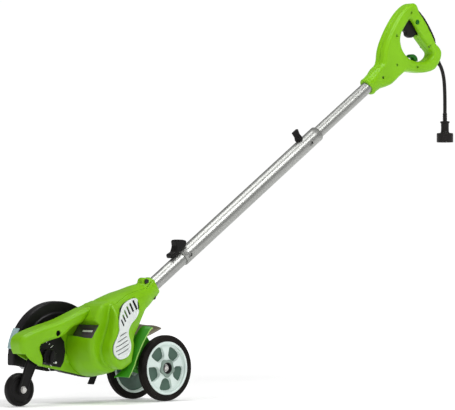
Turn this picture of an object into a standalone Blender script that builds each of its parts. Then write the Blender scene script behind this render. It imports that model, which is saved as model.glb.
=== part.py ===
"""Corded lawn edger: a motor head on three wheels, a telescopic shaft and a D-shaped handle.

Metres, +Z up. The operator walks towards -X, and the operator's left is -Y. Every place below is
measured from the rear axle line (x = 0, floor z = 0), and one empty carries the whole machine to its
frame, whose origin is on the floor at the middle of the machine.
"""
import math

import bmesh
import bpy
from mathutils import Matrix, Vector

# ---------------------------------------------------------------- driving dimensions
AXLE_X = -0.2432            # rear axle line in the frame
GAP = 0.0003               # clearance between neighbouring pieces
WALL = 0.0025              # wall of the moulded shells

WHEEL_R = 0.065            # rear wheel
WHEEL_W = 0.016
RIM_R = 0.0527
TRACK = 0.0978             # between the middle planes of the rear wheels
AXLE_Z = WHEEL_R
AXLE_R = 0.005
AXLE_END = 0.0507

MOTOR = (-0.12985, 0.11205)    # motor axis, along Y
SPINDLE = (-0.187, 0.088)      # blade spindle axis, along Y
BULB = (-0.1180, 0.1050)       # middle of the left cover's round end
BULB_R = 0.0375
MODULE = 0.00125               # gear module
PINION_TEETH = 12
IDLER_TEETH = 26
SPINDLE_TEETH = 38
GEAR_Y = (0.031, 0.037)

PLATE_Y = (0.024, 0.028)       # the frame plate that carries motor, arm and gears
DRUM_R = 0.062                 # motor housing at the frame plate
CASE_Y = 0.046                 # right face of the gear case
GUARD_Y = 0.0503               # left face of the blade guard
GUARD_DEPTH = 0.0217
GUARD_R = 0.110
BLADE_LENGTH = 0.190
BLADE_WIDTH = 0.040
BLADE_T = 0.003

PIVOT = (-0.256, 0.093)        # depth arm pivot
FRONT_WHEEL = (-0.316, 0.032)
FRONT_R = 0.032
FRONT_Y = (0.0026, 0.0194)

SHAFT_FOOT = (0.0108, 0.2277)  # a point of the shaft axis, just behind the head
SHAFT_ANGLE = math.radians(34.52)
LOWER_TUBE = (0.0125, 0.0140, -0.110, 0.150)    # inner and outer radius, start, end
MIDDLE_TUBE = (0.0144, 0.0165, 0.092, 0.552)
UPPER_TUBE = (0.0112, 0.0127, 0.400, 0.785)

HANDLE_HALF = 0.0165           # half the thickness of the D-handle
CORD_R = 0.004

# ---------------------------------------------------------------- colours
GREEN = (0.24, 0.50, 0.01)
DARK_GREEN = (0.03, 0.20, 0.01)
BLACK = (0.010, 0.010, 0.010)
RUBBER = (0.012, 0.012, 0.012)
SILVER = (0.62, 0.66, 0.63)
HUB = (0.62, 0.70, 0.66)
STEEL = (0.45, 0.45, 0.46)
COPPER = (0.65, 0.27, 0.10)
CASTING = (0.32, 0.33, 0.34)

for old in list(bpy.data.objects):
    bpy.data.objects.remove(old, do_unlink=True)

PARTS = bpy.data.collections.new("lawn_edger")
CUTTERS = bpy.data.collections.new("cutters")
bpy.context.scene.collection.children.link(PARTS)
bpy.context.scene.collection.children.link(CUTTERS)

HOME = bpy.data.objects.new("edger_home", None)
HOME.location = (AXLE_X, 0.0, 0.0)
PARTS.objects.link(HOME)

SHAFT_DIR = Vector((math.cos(SHAFT_ANGLE), 0.0, math.sin(SHAFT_ANGLE)))
SHAFT_UP = Vector((-math.sin(SHAFT_ANGLE), 0.0, math.cos(SHAFT_ANGLE)))
SHAFT_BASE = Vector((SHAFT_FOOT[0], 0.0, SHAFT_FOOT[1]))
ALONG_SHAFT = (0.0, math.pi / 2 - SHAFT_ANGLE, 0.0)     # turns local +Z onto the shaft
TO_RIGHT = (-math.pi / 2, 0.0, 0.0)                     # turns local +Z onto +Y
TO_LEFT = (math.pi / 2, 0.0, 0.0)                       # turns local +Z onto -Y


# ---------------------------------------------------------------- helpers
def paint(obj, colour, roughness=0.4, metallic=0.0):
    """Gives a piece its own material."""
    mat = bpy.data.materials.new(obj.name)
    mat.use_nodes = True
    shader = mat.node_tree.nodes["Principled BSDF"]
    shader.inputs["Base Color"].default_value = (*colour, 1.0)
    shader.inputs["Roughness"].default_value = roughness
    shader.inputs["Metallic"].default_value = metallic
    mat.diffuse_color = (*colour, 1.0)
    obj.data.materials.append(mat)
    return obj


def add(name, data, location=(0.0, 0.0, 0.0), rotation=(0.0, 0.0, 0.0), parent=HOME):
    """Links a new piece into the machine's collection."""
    obj = bpy.data.objects.new(name, data)
    obj.location = location
    obj.rotation_euler = rotation
    obj.parent = parent
    PARTS.objects.link(obj)
    return obj


def smooth(obj, angle=35.0):
    obj.data.shade_smooth()
    obj.data.set_sharp_from_angle(angle=math.radians(angle))
    return obj


def arc(centre, radius, start, end, steps):
    """Points of an arc in degrees, both ends included."""
    points = []
    for i in range(steps + 1):
        a = math.radians(start + (end - start) * i / steps)
        points.append((centre[0] + radius * math.cos(a), centre[1] + radius * math.sin(a)))
    return points


def rounded(points, steps=4):
    """A closed smooth curve through the points (Catmull-Rom)."""
    out = []
    n = len(points)
    for i in range(n):
        p0, p1, p2, p3 = (Vector(points[(i + k - 1) % n]) for k in range(4))
        for j in range(steps):
            t = j / steps
            out.append(tuple(0.5 * ((2 * p1) + (p2 - p0) * t + (2 * p0 - 5 * p1 + 4 * p2 - p3) * t * t
                                    + (3 * p1 - p0 - 3 * p2 + p3) * t ** 3)))
    return out


def signed_area(loop):
    total = 0.0
    for (x0, z0), (x1, z1) in zip(loop, loop[1:] + loop[:1]):
        total += x0 * z1 - x1 * z0
    return total / 2


def inset(loop, distance):
    """Moves a closed loop inwards by a distance (outwards where it is negative)."""
    sign = 1.0 if signed_area(loop) > 0 else -1.0
    out = []
    n = len(loop)
    for i in range(n):
        before = Vector(loop[i]) - Vector(loop[i - 1])
        after = Vector(loop[(i + 1) % n]) - Vector(loop[i])
        n0 = Vector((-before.y, before.x)).normalized()
        n1 = Vector((-after.y, after.x)).normalized()
        bisector = (n0 + n1).normalized()
        scale = min(1.0 / max(bisector.dot(n1), 0.5), 1.6)
        out.append(tuple(Vector(loop[i]) + bisector * sign * distance * scale))
    return out


def flat_curve(name, loops, half, pivot=(0.0, 0.0)):
    """A filled 2D curve of closed loops, extruded by half each way."""
    data = bpy.data.curves.new(name, "CURVE")
    data.dimensions = "2D"
    data.fill_mode = "BOTH"
    data.extrude = half
    for loop in loops:
        spline = data.splines.new("POLY")
        spline.points.add(len(loop) - 1)
        for point, (x, z) in zip(spline.points, loop):
            point.co = (x - pivot[0], z - pivot[1], 0.0, 1.0)
        spline.use_cyclic_u = True
    return data


def plate(name, loops, y_low, y_high, pivot=(0.0, 0.0)):
    """A flat piece parallel to the XZ plane, between two Y planes."""
    data = flat_curve(name, loops, (y_high - y_low) / 2, pivot)
    return add(name, data, (pivot[0], (y_low + y_high) / 2, pivot[1]), TO_LEFT)


def as_mesh(obj):
    """Makes a curve piece a welded mesh, so that it can be cut or joined."""
    bpy.context.view_layer.update()
    graph = bpy.context.evaluated_depsgraph_get()
    mesh = bpy.data.meshes.new_from_object(obj.evaluated_get(graph))
    weld = bmesh.new()
    weld.from_mesh(mesh)
    bmesh.ops.remove_doubles(weld, verts=weld.verts, dist=0.00001)
    bmesh.ops.recalc_face_normals(weld, faces=weld.faces)
    weld.to_mesh(mesh)
    weld.free()
    name, parent, matrix = obj.name, obj.parent, obj.matrix_basis.copy()
    bpy.data.objects.remove(obj, do_unlink=True)
    new = bpy.data.objects.new(name, mesh)
    new.parent = parent
    new.matrix_basis = matrix
    PARTS.objects.link(new)
    return new


def turned(name, profile, location, rotation, steps=24, closed=True):
    """A turned piece: profile points (radius, height), down the outer side first."""
    mesh = bpy.data.meshes.new(name)
    verts = [(r, 0.0, h) for r, h in profile]
    edges = [(i, i + 1) for i in range(len(profile) - 1)]
    if closed:
        edges.append((len(profile) - 1, 0))
    mesh.from_pydata(verts, edges, [])
    obj = add(name, mesh, location, rotation)
    screw = obj.modifiers.new("turn", "SCREW")
    screw.steps = steps
    screw.render_steps = steps
    screw.use_merge_vertices = True
    screw.merge_threshold = 0.00001
    screw.use_normal_calculate = False
    screw.use_smooth_shade = True
    return obj


def ring(name, inner, outer, low, high, location, rotation, steps=24):
    profile = [(outer, high), (outer, low), (inner, low), (inner, high)]
    return turned(name, profile, location, rotation, steps)


def rod(name, radius, low, high, location, rotation, steps=16):
    profile = [(0.0, high), (radius, high), (radius, low), (0.0, low)]
    return turned(name, profile, location, rotation, steps, closed=False)


def block(name, size, location, rotation=(0.0, 0.0, 0.0)):
    """A box of a full size about its location."""
    mesh = bpy.data.meshes.new(name)
    shape = bmesh.new()
    bmesh.ops.create_cube(shape, size=1.0)
    bmesh.ops.scale(shape, vec=size, verts=shape.verts)
    shape.to_mesh(mesh)
    shape.free()
    return add(name, mesh, location, rotation)


def cylinder(name, radius, length, location, rotation, steps=16):
    """A plain cylinder along its local Z about its location."""
    mesh = bpy.data.meshes.new(name)
    shape = bmesh.new()
    bmesh.ops.create_cone(shape, cap_ends=True, segments=steps, radius1=radius, radius2=radius, depth=length)
    shape.to_mesh(mesh)
    shape.free()
    return add(name, mesh, location, rotation)


def as_cutter(obj):
    """Turns a helper solid into a hidden cutter."""
    PARTS.objects.unlink(obj)
    CUTTERS.objects.link(obj)
    obj.name = "cut_" + obj.name
    obj.hide_render = True
    obj.display_type = "WIRE"
    return obj


def boolean(obj, tool, operation="DIFFERENCE"):
    mod = obj.modifiers.new(operation.lower(), "BOOLEAN")
    mod.operation = operation
    mod.solver = "EXACT"
    mod.object = as_cutter(tool) if tool.name in PARTS.objects else tool
    return obj


def bore(obj, place, radius, y_low=-0.09, y_high=0.09):
    """Cuts a hole along Y."""
    middle = (place[0], (y_low + y_high) / 2, place[1])
    return boolean(obj, cylinder(obj.name + "_bore", radius, y_high - y_low, middle, TO_RIGHT))


def on_shaft(along, up=0.0, side=0.0):
    """The place at a distance along the shaft, above its axis and to its right."""
    return SHAFT_BASE + SHAFT_DIR * along + SHAFT_UP * up + Vector((0.0, side, 0.0))


def bore_shaft(obj, radius, start, end):
    length = end - start
    place = on_shaft((start + end) / 2)
    return boolean(obj, cylinder(obj.name + "_tube_bore", radius, length, place, ALONG_SHAFT, 24))


def ladder_cap(shape, row):
    """Closes a loop with rungs between its two long sides; the loop starts and ends at one end."""
    low, high = 0, len(row) - 1
    while high - low > 1:
        if high - low > 2:
            shape.faces.new((row[low], row[low + 1], row[high - 1], row[high]))
        else:
            shape.faces.new((row[low], row[low + 1], row[high]))
        low += 1
        high -= 1


def shell(name, rings, thickness=WALL, end_cap="flat"):
    """A moulded shell: a loft through loops of equal count, open at the first, made thick inwards."""
    mesh = bpy.data.meshes.new(name)
    shape = bmesh.new()
    rows = [[shape.verts.new(point) for point in loop] for loop in rings]
    for row, following in zip(rows, rows[1:]):
        for i in range(len(row)):
            j = (i + 1) % len(row)
            shape.faces.new((row[i], row[j], following[j], following[i]))
    if end_cap == "flat":
        shape.faces.new(rows[-1])
    elif end_cap == "ladder":
        ladder_cap(shape, rows[-1])
    bmesh.ops.recalc_face_normals(shape, faces=shape.faces)
    centre = sum((v.co for v in shape.verts), Vector()) / len(shape.verts)
    outward = sum(f.normal.dot(f.calc_center_median() - centre) * f.calc_area() for f in shape.faces)
    if outward < 0:
        bmesh.ops.reverse_faces(shape, faces=shape.faces)
    shape.to_mesh(mesh)
    shape.free()
    obj = add(name, mesh)
    thick = obj.modifiers.new("wall", "SOLIDIFY")
    thick.thickness = thickness
    thick.offset = -1.0
    thick.use_even_offset = True
    return obj


def band(centre, inner, outer, start, end, steps=10):
    """A closed outline of an arc-shaped strip."""
    return arc(centre, outer, start, end, steps) + arc(centre, inner, end, start, steps)


# ---------------------------------------------------------------- outlines of the head
NECK_REAR = [(0.0110, 0.2070), (-0.0300, 0.1830), (-0.0370, 0.1660), (-0.0500, 0.1500)]
NECK_FRONT = [(-0.1720, 0.1560), (-0.1530, 0.1890)]
NECK_TOP = [(-0.1250, 0.2015), (-0.0870, 0.2160), (-0.0620, 0.2210), (-0.0400, 0.2350),
            (-0.0200, 0.2410), (-0.0040, 0.2405)]
ARM_TOP = [(-0.1600, 0.1860), (-0.2250, 0.1630), (-0.2740, 0.1500), (-0.3060, 0.1400)]
ARM_NOSE = [(-0.3200, 0.1320), (-0.3250, 0.1220), (-0.3200, 0.1080), (-0.3000, 0.0930)]
ARM_BOTTOM = [(-0.2620, 0.0760), (-0.2420, 0.0720), (-0.1850, 0.0605)]


def head_loop(radius):
    """Side outline of the motor housing: the drum round the motor and the neck up to the shaft."""
    return NECK_REAR + arc(MOTOR, radius, 22.0, -200.0, 18) + NECK_FRONT + NECK_TOP


def cover_loop():
    """Side outline of the left cover: a round bulb over the motor's brush end and a neck up to the shaft.
    It has as many points as the housing's outline, so that the two can be lofted together."""
    rear = [NECK_REAR[0], NECK_REAR[1], (-0.0440, 0.1680), (-0.0640, 0.1480)]
    front = [(-0.1400, 0.1530), (-0.1330, 0.1780)]
    top = [(-0.1230, 0.1990), (-0.1080, 0.2070)] + NECK_TOP[2:]
    return rear + arc(BULB, BULB_R, 32.0, -205.0, 18) + front + top


def along(point):
    """Distance of an outline point along the shaft, negative in the head."""
    x, z = point
    return (x - SHAFT_FOOT[0]) * SHAFT_DIR.x + (z - SHAFT_FOOT[1]) * SHAFT_DIR.z


def table(value, rows):
    """Straight-line interpolation in rows of (value, result), sorted upwards."""
    if value <= rows[0][0]:
        return rows[0][1]
    for (a, ya), (b, yb) in zip(rows, rows[1:]):
        if value <= b:
            return ya + (yb - ya) * (value - a) / (b - a)
    return rows[-1][1]


def seam_y(point):
    """Left edge of the motor housing, where the left cover begins."""
    return -table(along(point), [(-0.160, 0.043), (-0.095, 0.030), (-0.010, 0.014)])


def face_y(point):
    """Outer face of the left cover."""
    return -table(along(point), [(-0.185, 0.072), (-0.138, 0.061), (-0.082, 0.0385), (-0.010, 0.0200)])


# ---------------------------------------------------------------- head, fixed pieces
def make_frame_plate():
    loop = (NECK_REAR + arc(MOTOR, DRUM_R, 22.0, -100.0, 12) + ARM_BOTTOM[::-1] + ARM_NOSE[::-1]
            + ARM_TOP[::-1] + NECK_TOP)
    obj = as_mesh(plate("frame_plate", [loop], *PLATE_Y))
    bore(obj, MOTOR, 0.0113)
    bore(obj, SPINDLE, 0.0063)
    bore(obj, idler_place(), 0.0043)
    bore(obj, PIVOT, 0.0043)
    for k in range(6):
        a = math.radians(30 + 60 * k)
        vent = (MOTOR[0] + 0.030 * math.cos(a), MOTOR[1] + 0.030 * math.sin(a))
        if k != 3:
            bore(obj, vent, 0.006)
    return paint(smooth(obj), GREEN, 0.35)


def make_motor_housing():
    wide = [(0.0, DRUM_R), (0.06, DRUM_R), (0.45, 0.0575), (0.80, 0.052), (0.90, 0.049)]
    outlines = [(share, head_loop(radius)) for share, radius in wide]
    outlines += [(0.955, cover_loop()), (1.0, cover_loop())]
    rings = []
    right = PLATE_Y[0] - GAP
    for share, loop in outlines:
        rings.append([(x, right + (seam_y((x, z)) - right) * share, z) for x, z in loop])
    obj = shell("motor_housing", rings, end_cap="none")
    bore_shaft(obj, 0.0143, -0.085, 0.030)
    return paint(smooth(obj), GREEN, 0.35)


def make_left_cover():
    base = cover_loop()
    rings = []
    for depth, sink in [(0.0, 0.0), (0.25, 0.0), (0.6, 0.0015), (0.9, 0.005), (1.0, 0.009)]:
        row = []
        for point, (x, z) in zip(base, inset(base, sink)):
            start = seam_y(point) - GAP
            row.append((x, start + (face_y((x, z)) - start) * depth, z))
        rings.append(row)
    obj = shell("left_cover", rings, end_cap="ladder")
    bore_shaft(obj, 0.0143, -0.085, 0.030)
    hole = plate("vent_hole", [inset(vent_loop(), -GAP)], -0.090, -0.020)
    boolean(obj, as_mesh(hole))
    return paint(smooth(obj), GREEN, 0.35)


def vent_loop():
    """Side outline of the grille, from its upper end round and back."""
    return rounded([(-0.0740, 0.2050), (-0.0640, 0.1910), (-0.0770, 0.1700), (-0.0930, 0.1500),
                    (-0.1010, 0.1320), (-0.1020, 0.1120), (-0.1130, 0.0890), (-0.1330, 0.0830),
                    (-0.1520, 0.0930), (-0.1570, 0.1130), (-0.1450, 0.1330), (-0.1230, 0.1500),
                    (-0.1110, 0.1660), (-0.1030, 0.1820), (-0.0880, 0.1990)], 2)


def make_vent_panel():
    """The pale peanut-shaped grille that fills an opening of the left cover."""
    loop = vent_loop()
    rings = []
    for lift, sink in [(-0.0010, 0.0), (0.0012, 0.0), (0.0020, 0.0015)]:
        rings.append([(x, face_y((x, z)) - lift, z) for x, z in inset(loop, sink)])
    mesh = bpy.data.meshes.new("vent_panel")
    shape = bmesh.new()
    rows = [[shape.verts.new(point) for point in row] for row in rings]
    for row, following in zip(rows, rows[1:]):
        for i in range(len(row)):
            j = (i + 1) % len(row)
            shape.faces.new((row[i], row[j], following[j], following[i]))
    for row in (rows[0], rows[-1]):
        ladder_cap(shape, row)
    bmesh.ops.recalc_face_normals(shape, faces=shape.faces)
    shape.to_mesh(mesh)
    shape.free()
    obj = smooth(add("vent_panel", mesh))
    for k in range(5):
        place = (-0.0760 - 0.0045 * k, -0.045, 0.1910 - 0.0085 * k)
        boolean(obj, block("louvre_%d" % k, (0.016, 0.060, 0.0035), place, (0.0, math.radians(-28), 0.0)))
    return paint(obj, SILVER, 0.35)


def make_arm_cover():
    loop = [(-0.1553, 0.1882), (-0.2250, 0.1640), (-0.2740, 0.1515), (-0.3080, 0.1410), (-0.3230, 0.1330),
            (-0.3280, 0.1210), (-0.3220, 0.1050), (-0.3080, 0.0920), (-0.2900, 0.0820), (-0.2750, 0.0770),
            (-0.2720, 0.0920), (-0.2790, 0.1120), (-0.2620, 0.1220), (-0.2250, 0.1315),
            (-0.1990, 0.1480), (-0.1730, 0.1590)]
    rings = []
    for y, sink in [(PLATE_Y[0] - GAP, 0.0), (-0.004, 0.0), (-0.0095, 0.0020), (-0.0120, 0.0060)]:
        rings.append([(x, y, z) for x, z in inset(loop, sink)])
    obj = shell("arm_cover", rings)
    boolean(obj, block("swing_space", (0.110, 0.040, 0.080), (-0.2950, 0.0115, 0.0790)))
    bore(obj, (-0.2380, 0.1380), 0.0050, -0.02, 0.0)
    return paint(smooth(obj), GREEN, 0.35)


def case_loop():
    """Outline of the gear case: round the motor axis and round the spindle, with straight tangents."""
    big, small = 0.064, 0.029
    a, b = Vector(MOTOR), Vector(SPINDLE)
    base = math.degrees(math.atan2(b.y - a.y, b.x - a.x))
    spread = math.degrees(math.acos((big - small) / (b - a).length))
    return (arc(MOTOR, big, base + spread, base + 360 - spread, 22)
            + arc(SPINDLE, small, base - spread, base + spread, 8))


def make_gear_case():
    rings = []
    for y, sink in [(PLATE_Y[1] + GAP, 0.0), (CASE_Y - 0.003, 0.0), (CASE_Y, 0.003)]:
        rings.append([(x, y, z) for x, z in inset(case_loop(), sink)])
    obj = shell("gear_case", rings)
    bore(obj, SPINDLE, 0.0113, 0.040, 0.052)
    for k in range(5):
        a = math.radians(-112 + 12 * k)
        place = (MOTOR[0] + 0.063 * math.cos(a), 0.037, MOTOR[1] + 0.063 * math.sin(a))
        boolean(obj, block("fin_gap_%d" % k, (0.008, 0.010, 0.0045), place, (0.0, -a, 0.0)))
    return paint(smooth(obj), BLACK, 0.45)


def make_blade_guard():
    """A half drum, open towards the ground and to the right."""
    points = arc(SPINDLE, GUARD_R, -6.0, 186.0, 26)
    mesh = bpy.data.meshes.new("blade_guard")
    shape = bmesh.new()
    near = [shape.verts.new((x, GUARD_Y, z)) for x, z in points]
    far = [shape.verts.new((x, GUARD_Y + GUARD_DEPTH, z)) for x, z in points]
    hub = [shape.verts.new((x, GUARD_Y, z)) for x, z in
           [(SPINDLE[0] - 0.030, SPINDLE[1] - 0.026), (SPINDLE[0] + 0.030, SPINDLE[1] - 0.026)]]
    for i in range(len(points) - 1):
        shape.faces.new((near[i], near[i + 1], far[i + 1], far[i]))
    shape.faces.new(near + hub)
    bmesh.ops.recalc_face_normals(shape, faces=shape.faces)
    face = max(shape.faces, key=lambda f: f.calc_area())
    if face.normal.y > 0:
        bmesh.ops.reverse_faces(shape, faces=shape.faces)
    shape.to_mesh(mesh)
    shape.free()
    obj = add("blade_guard", mesh)
    thick = obj.modifiers.new("wall", "SOLIDIFY")
    thick.thickness = WALL
    thick.offset = -1.0
    thick.use_even_offset = True
    bore(obj, SPINDLE, 0.0185, 0.045, 0.056)
    return paint(smooth(obj), BLACK, 0.35)


def make_guard_flaps():
    front = plate("front_flap", [band(SPINDLE, GUARD_R + 0.0005, GUARD_R + 0.003, 148.0, 170.0)],
                  GUARD_Y + 0.003, GUARD_Y + GUARD_DEPTH)
    paint(front, (0.30, 0.42, 0.42), 0.25)
    rear = plate("debris_flap", [band(SPINDLE, GUARD_R - 0.0062, GUARD_R - 0.0032, 10.0, -32.0)],
                 GUARD_Y + WALL + 0.0005, GUARD_Y + GUARD_DEPTH)
    paint(rear, RUBBER, 0.7)


def make_scale_plate():
    loop = [(-0.2640, 0.0800), (-0.2640, 0.1160), (-0.2400, 0.1240), (-0.2070, 0.1310), (-0.1970, 0.1200),
            (-0.1945, 0.1000), (-0.1990, 0.0800), (-0.2060, 0.0700), (-0.2400, 0.0760)]
    obj = as_mesh(plate("scale_plate", [loop], PLATE_Y[0] - 0.0025, PLATE_Y[0] - GAP))
    bore(obj, PIVOT, 0.0043)
    return paint(obj, BLACK, 0.5)


def make_wheel_carrier():
    """The two axle brackets, the fender in front of the left wheel and the flap over the axle."""
    axle = (0.0, AXLE_Z)
    for name, clear, y_low in [("axle_bracket_left", 0.0535, -0.034), ("axle_bracket_right", 0.0655, 0.030)]:
        loop = (arc(MOTOR, clear, -38.0, 20.0, 8)
                + [(-0.0560, 0.1330), (-0.0400, 0.1380), (-0.0200, 0.1100)]
                + arc(axle, 0.014, 70.0, -90.0, 8))
        obj = as_mesh(plate(name, [loop], y_low, y_low + 0.004))
        bore(obj, axle, AXLE_R + GAP)
        paint(obj, DARK_GREEN, 0.4)
    fender = plate("fender", [band(axle, 0.0805, 0.0835, 112.0, 190.0, 14)], -0.0565, -0.034 - GAP)
    paint(fender, DARK_GREEN, 0.4)
    start, end = Vector((-0.0590, 0.1240)), Vector((0.0110, 0.1420))
    tilt = math.atan2(end.y - start.y, end.x - start.x)
    middle = (start + end) / 2
    flap = block("rear_flap", ((end - start).length, 0.054, 0.003), (middle.x, 0.0, middle.y), (0.0, -tilt, 0.0))
    paint(flap, (0.16, 0.14, 0.12), 0.5)
    paint(rod("rear_axle", AXLE_R, -AXLE_END, AXLE_END, (0.0, 0.0, AXLE_Z), TO_RIGHT), STEEL, 0.3, 1.0)
    for name, side, turn in [("axle_cap_left", -1, TO_LEFT), ("axle_cap_right", 1, TO_RIGHT)]:
        cap = turned(name, [(0.0, 0.0045), (0.004, 0.0045), (0.006, 0.003), (0.008, 0.001), (0.008, 0.0),
                            (0.0, 0.0)], (0.0, side * (AXLE_END + GAP), AXLE_Z), turn, 16, closed=False)
        paint(cap, STEEL, 0.3, 1.0)


# ---------------------------------------------------------------- motor and gear train
def idler_place():
    """Where an idler meshes with both the pinion and the spindle gear."""
    m, s = Vector(MOTOR), Vector(SPINDLE)
    reach = (m - s).length
    near_spindle = MODULE * (IDLER_TEETH + SPINDLE_TEETH) / 2
    near_motor = MODULE * (IDLER_TEETH + PINION_TEETH) / 2
    share = (near_spindle ** 2 - near_motor ** 2 + reach ** 2) / (2 * reach)
    height = math.sqrt(near_spindle ** 2 - share ** 2)
    u = (m - s).normalized()
    place = s + u * share + Vector((-u.y, u.x)) * height
    return (place.x, place.y)


def gear_loop(teeth, phase):
    """Straight-flanked teeth with running backlash; one tooth's middle lies at the phase angle."""
    pitch = MODULE * teeth / 2
    root, tip = pitch - 1.25 * MODULE, pitch + MODULE
    step = 2 * math.pi / teeth
    points = []
    for k in range(teeth):
        middle = phase + k * step
        for radius, share in [(root, -0.25), (tip, -0.10), (tip, 0.10), (root, 0.25)]:
            a = middle + share * step
            points.append((radius * math.cos(a), radius * math.sin(a)))
    return points


def circle(radius, steps=20):
    return [(radius * math.cos(2 * math.pi * k / steps), radius * math.sin(2 * math.pi * k / steps))
            for k in range(steps)]


def make_gear(name, place, teeth, phase, bore_radius):
    data = flat_curve(name, [gear_loop(teeth, phase), circle(bore_radius)], (GEAR_Y[1] - GEAR_Y[0]) / 2)
    obj = add(name, data, (place[0], sum(GEAR_Y) / 2, place[1]), TO_LEFT)
    return paint(obj, STEEL, 0.35, 1.0)


def make_gears():
    idler = idler_place()
    to_idler = math.atan2(idler[1] - MOTOR[1], idler[0] - MOTOR[0])
    to_spindle = math.atan2(SPINDLE[1] - idler[1], SPINDLE[0] - idler[0])
    idler_step = 2 * math.pi / IDLER_TEETH
    idler_phase = to_idler + math.pi + idler_step / 2
    lag = (to_spindle - idler_phase) % idler_step
    spindle_phase = to_spindle + math.pi + lag * IDLER_TEETH / SPINDLE_TEETH + math.pi / SPINDLE_TEETH
    make_gear("pinion", MOTOR, PINION_TEETH, to_idler, 0.004 + GAP)
    make_gear("idler_gear", idler, IDLER_TEETH, idler_phase, 0.004 + GAP)
    make_gear("spindle_gear", SPINDLE, SPINDLE_TEETH, spindle_phase, 0.006 + GAP)
    paint(rod("idler_pin", 0.004, 0.024, 0.042, (idler[0], 0.0, idler[1]), TO_RIGHT), STEEL, 0.3, 1.0)


def make_motor():
    centre = (MOTOR[0], 0.0, MOTOR[1])
    paint(ring("stator_core", 0.0235, 0.043, -0.027, 0.010, centre, TO_RIGHT, 20), STEEL, 0.5, 1.0)
    paint(ring("field_winding", 0.0250, 0.037, -0.0330, -0.027 - GAP, centre, TO_RIGHT, 24), COPPER, 0.4, 1.0)
    paint(ring("armature_core", 0.005 + GAP, 0.0225, -0.027, 0.009, centre, TO_RIGHT, 20), STEEL, 0.5, 1.0)
    paint(ring("commutator", 0.005 + GAP, 0.012, -0.054, -0.042, centre, TO_RIGHT, 24), COPPER, 0.3, 1.0)
    shaft = turned("armature_shaft", [(0.0, 0.038), (0.004, 0.038), (0.004, 0.0235), (0.005, 0.0235),
                                      (0.005, -0.0640), (0.0, -0.0640)], centre, TO_RIGHT, 20, closed=False)
    paint(shaft, STEEL, 0.25, 1.0)
    paint(ring("armature_bearing_front", 0.004 + GAP, 0.011, 0.024, 0.028, centre, TO_RIGHT, 20), STEEL, 0.3, 1.0)
    paint(ring("armature_bearing_rear", 0.005 + GAP, 0.011, -0.0635, -0.0585, centre, TO_RIGHT, 20), STEEL, 0.3, 1.0)
    paint(ring("brush_bracket", 0.011 + GAP, 0.0185, -0.0635, -0.0585, centre, TO_RIGHT, 24), BLACK, 0.5)
    vanes = []
    for k in range(10):
        for radius, shift in [(0.013, -9), (0.036, -2), (0.036, 8), (0.015, 9)]:
            a = math.radians(36 * k + shift)
            vanes.append((radius * math.cos(a), radius * math.sin(a)))
    fan = add("cooling_fan", flat_curve("cooling_fan", [vanes, circle(0.005 + GAP, 16)], 0.004),
              (MOTOR[0], 0.0155, MOTOR[1]), TO_LEFT)
    paint(fan, (0.85, 0.85, 0.82), 0.5)


def make_spindle():
    centre = (SPINDLE[0], 0.0, SPINDLE[1])
    profile = [(0.0, 0.0705), (0.006, 0.0705), (0.006, 0.0565), (0.016, 0.0565), (0.016, 0.0533),
               (0.006, 0.0533), (0.006, 0.024), (0.0, 0.024)]
    paint(turned("spindle", profile, centre, TO_RIGHT, 24, closed=False), STEEL, 0.3, 1.0)
    paint(ring("spindle_bearing", 0.006 + GAP, 0.011, 0.0435, 0.0495, centre, TO_RIGHT, 20), STEEL, 0.3, 1.0)
    half, edge = BLADE_LENGTH / 2, BLADE_WIDTH / 2
    outline = [(-half, -edge + 0.008), (-half + 0.010, -edge), (half - 0.002, -edge), (half, edge - 0.008),
               (half - 0.010, edge), (-half + 0.002, edge)]
    data = flat_curve("blade", [outline, circle(0.006 + GAP)], BLADE_T / 2)
    blade = add("blade", data, (SPINDLE[0], 0.0568 + BLADE_T / 2, SPINDLE[1]), TO_LEFT)
    paint(blade, STEEL, 0.35, 1.0)
    paint(ring("blade_washer", 0.006 + GAP, 0.014, 0.0601, 0.0621, centre, TO_RIGHT, 20), STEEL, 0.3, 1.0)
    nut = cylinder("blade_nut", 0.0105, 0.0066, (SPINDLE[0], 0.0657, SPINDLE[1]), TO_RIGHT, 6)
    paint(bore(nut, SPINDLE, 0.006 + GAP), STEEL, 0.3, 1.0)


# ---------------------------------------------------------------- wheels and depth arm
def make_rear_wheels():
    hub = [(RIM_R, 0.008), (RIM_R, -0.008), (0.049, -0.008), (0.049, -0.003), (0.015, -0.003),
           (0.015, -0.008), (AXLE_R + GAP, -0.008), (AXLE_R + GAP, 0.0015), (0.011, 0.0015),
           (0.011, 0.010), (0.015, 0.010), (0.015, 0.0), (0.049, 0.0), (0.049, 0.008)]
    seat = RIM_R + GAP
    tyre = [(0.0605, 0.008), (0.064, 0.0062), (WHEEL_R, 0.003), (WHEEL_R, -0.003), (0.064, -0.0062),
            (0.0605, -0.008), (seat, -0.008), (seat, 0.008)]
    for side, sign, turn in [("left", -1, TO_LEFT), ("right", 1, TO_RIGHT)]:
        place = (0.0, sign * TRACK / 2, AXLE_Z)
        paint(turned("rear_hub_" + side, hub, place, turn, 28), HUB, 0.4)
        paint(turned("rear_tyre_" + side, tyre, place, turn, 40), RUBBER, 0.8)


def stroke(points, widths):
    """Outline of a bent strap of varying width with round ends."""
    left, right = [], []
    for i, point in enumerate(points):
        before = Vector(points[max(i - 1, 0)])
        after = Vector(points[min(i + 1, len(points) - 1)])
        side = (after - before).normalized()
        normal = Vector((-side.y, side.x)) * widths[i] / 2
        left.append(tuple(Vector(point) + normal))
        right.append(tuple(Vector(point) - normal))
    caps = []
    for index, other, width in ((-1, -2, widths[-1]), (0, 1, widths[0])):
        away = Vector(points[index]) - Vector(points[other])
        a = math.degrees(math.atan2(away.y, away.x))
        caps.append(arc(points[index], width / 2, a + 80, a - 80, 8))
    return left + caps[0] + right[::-1] + caps[1]


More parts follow.
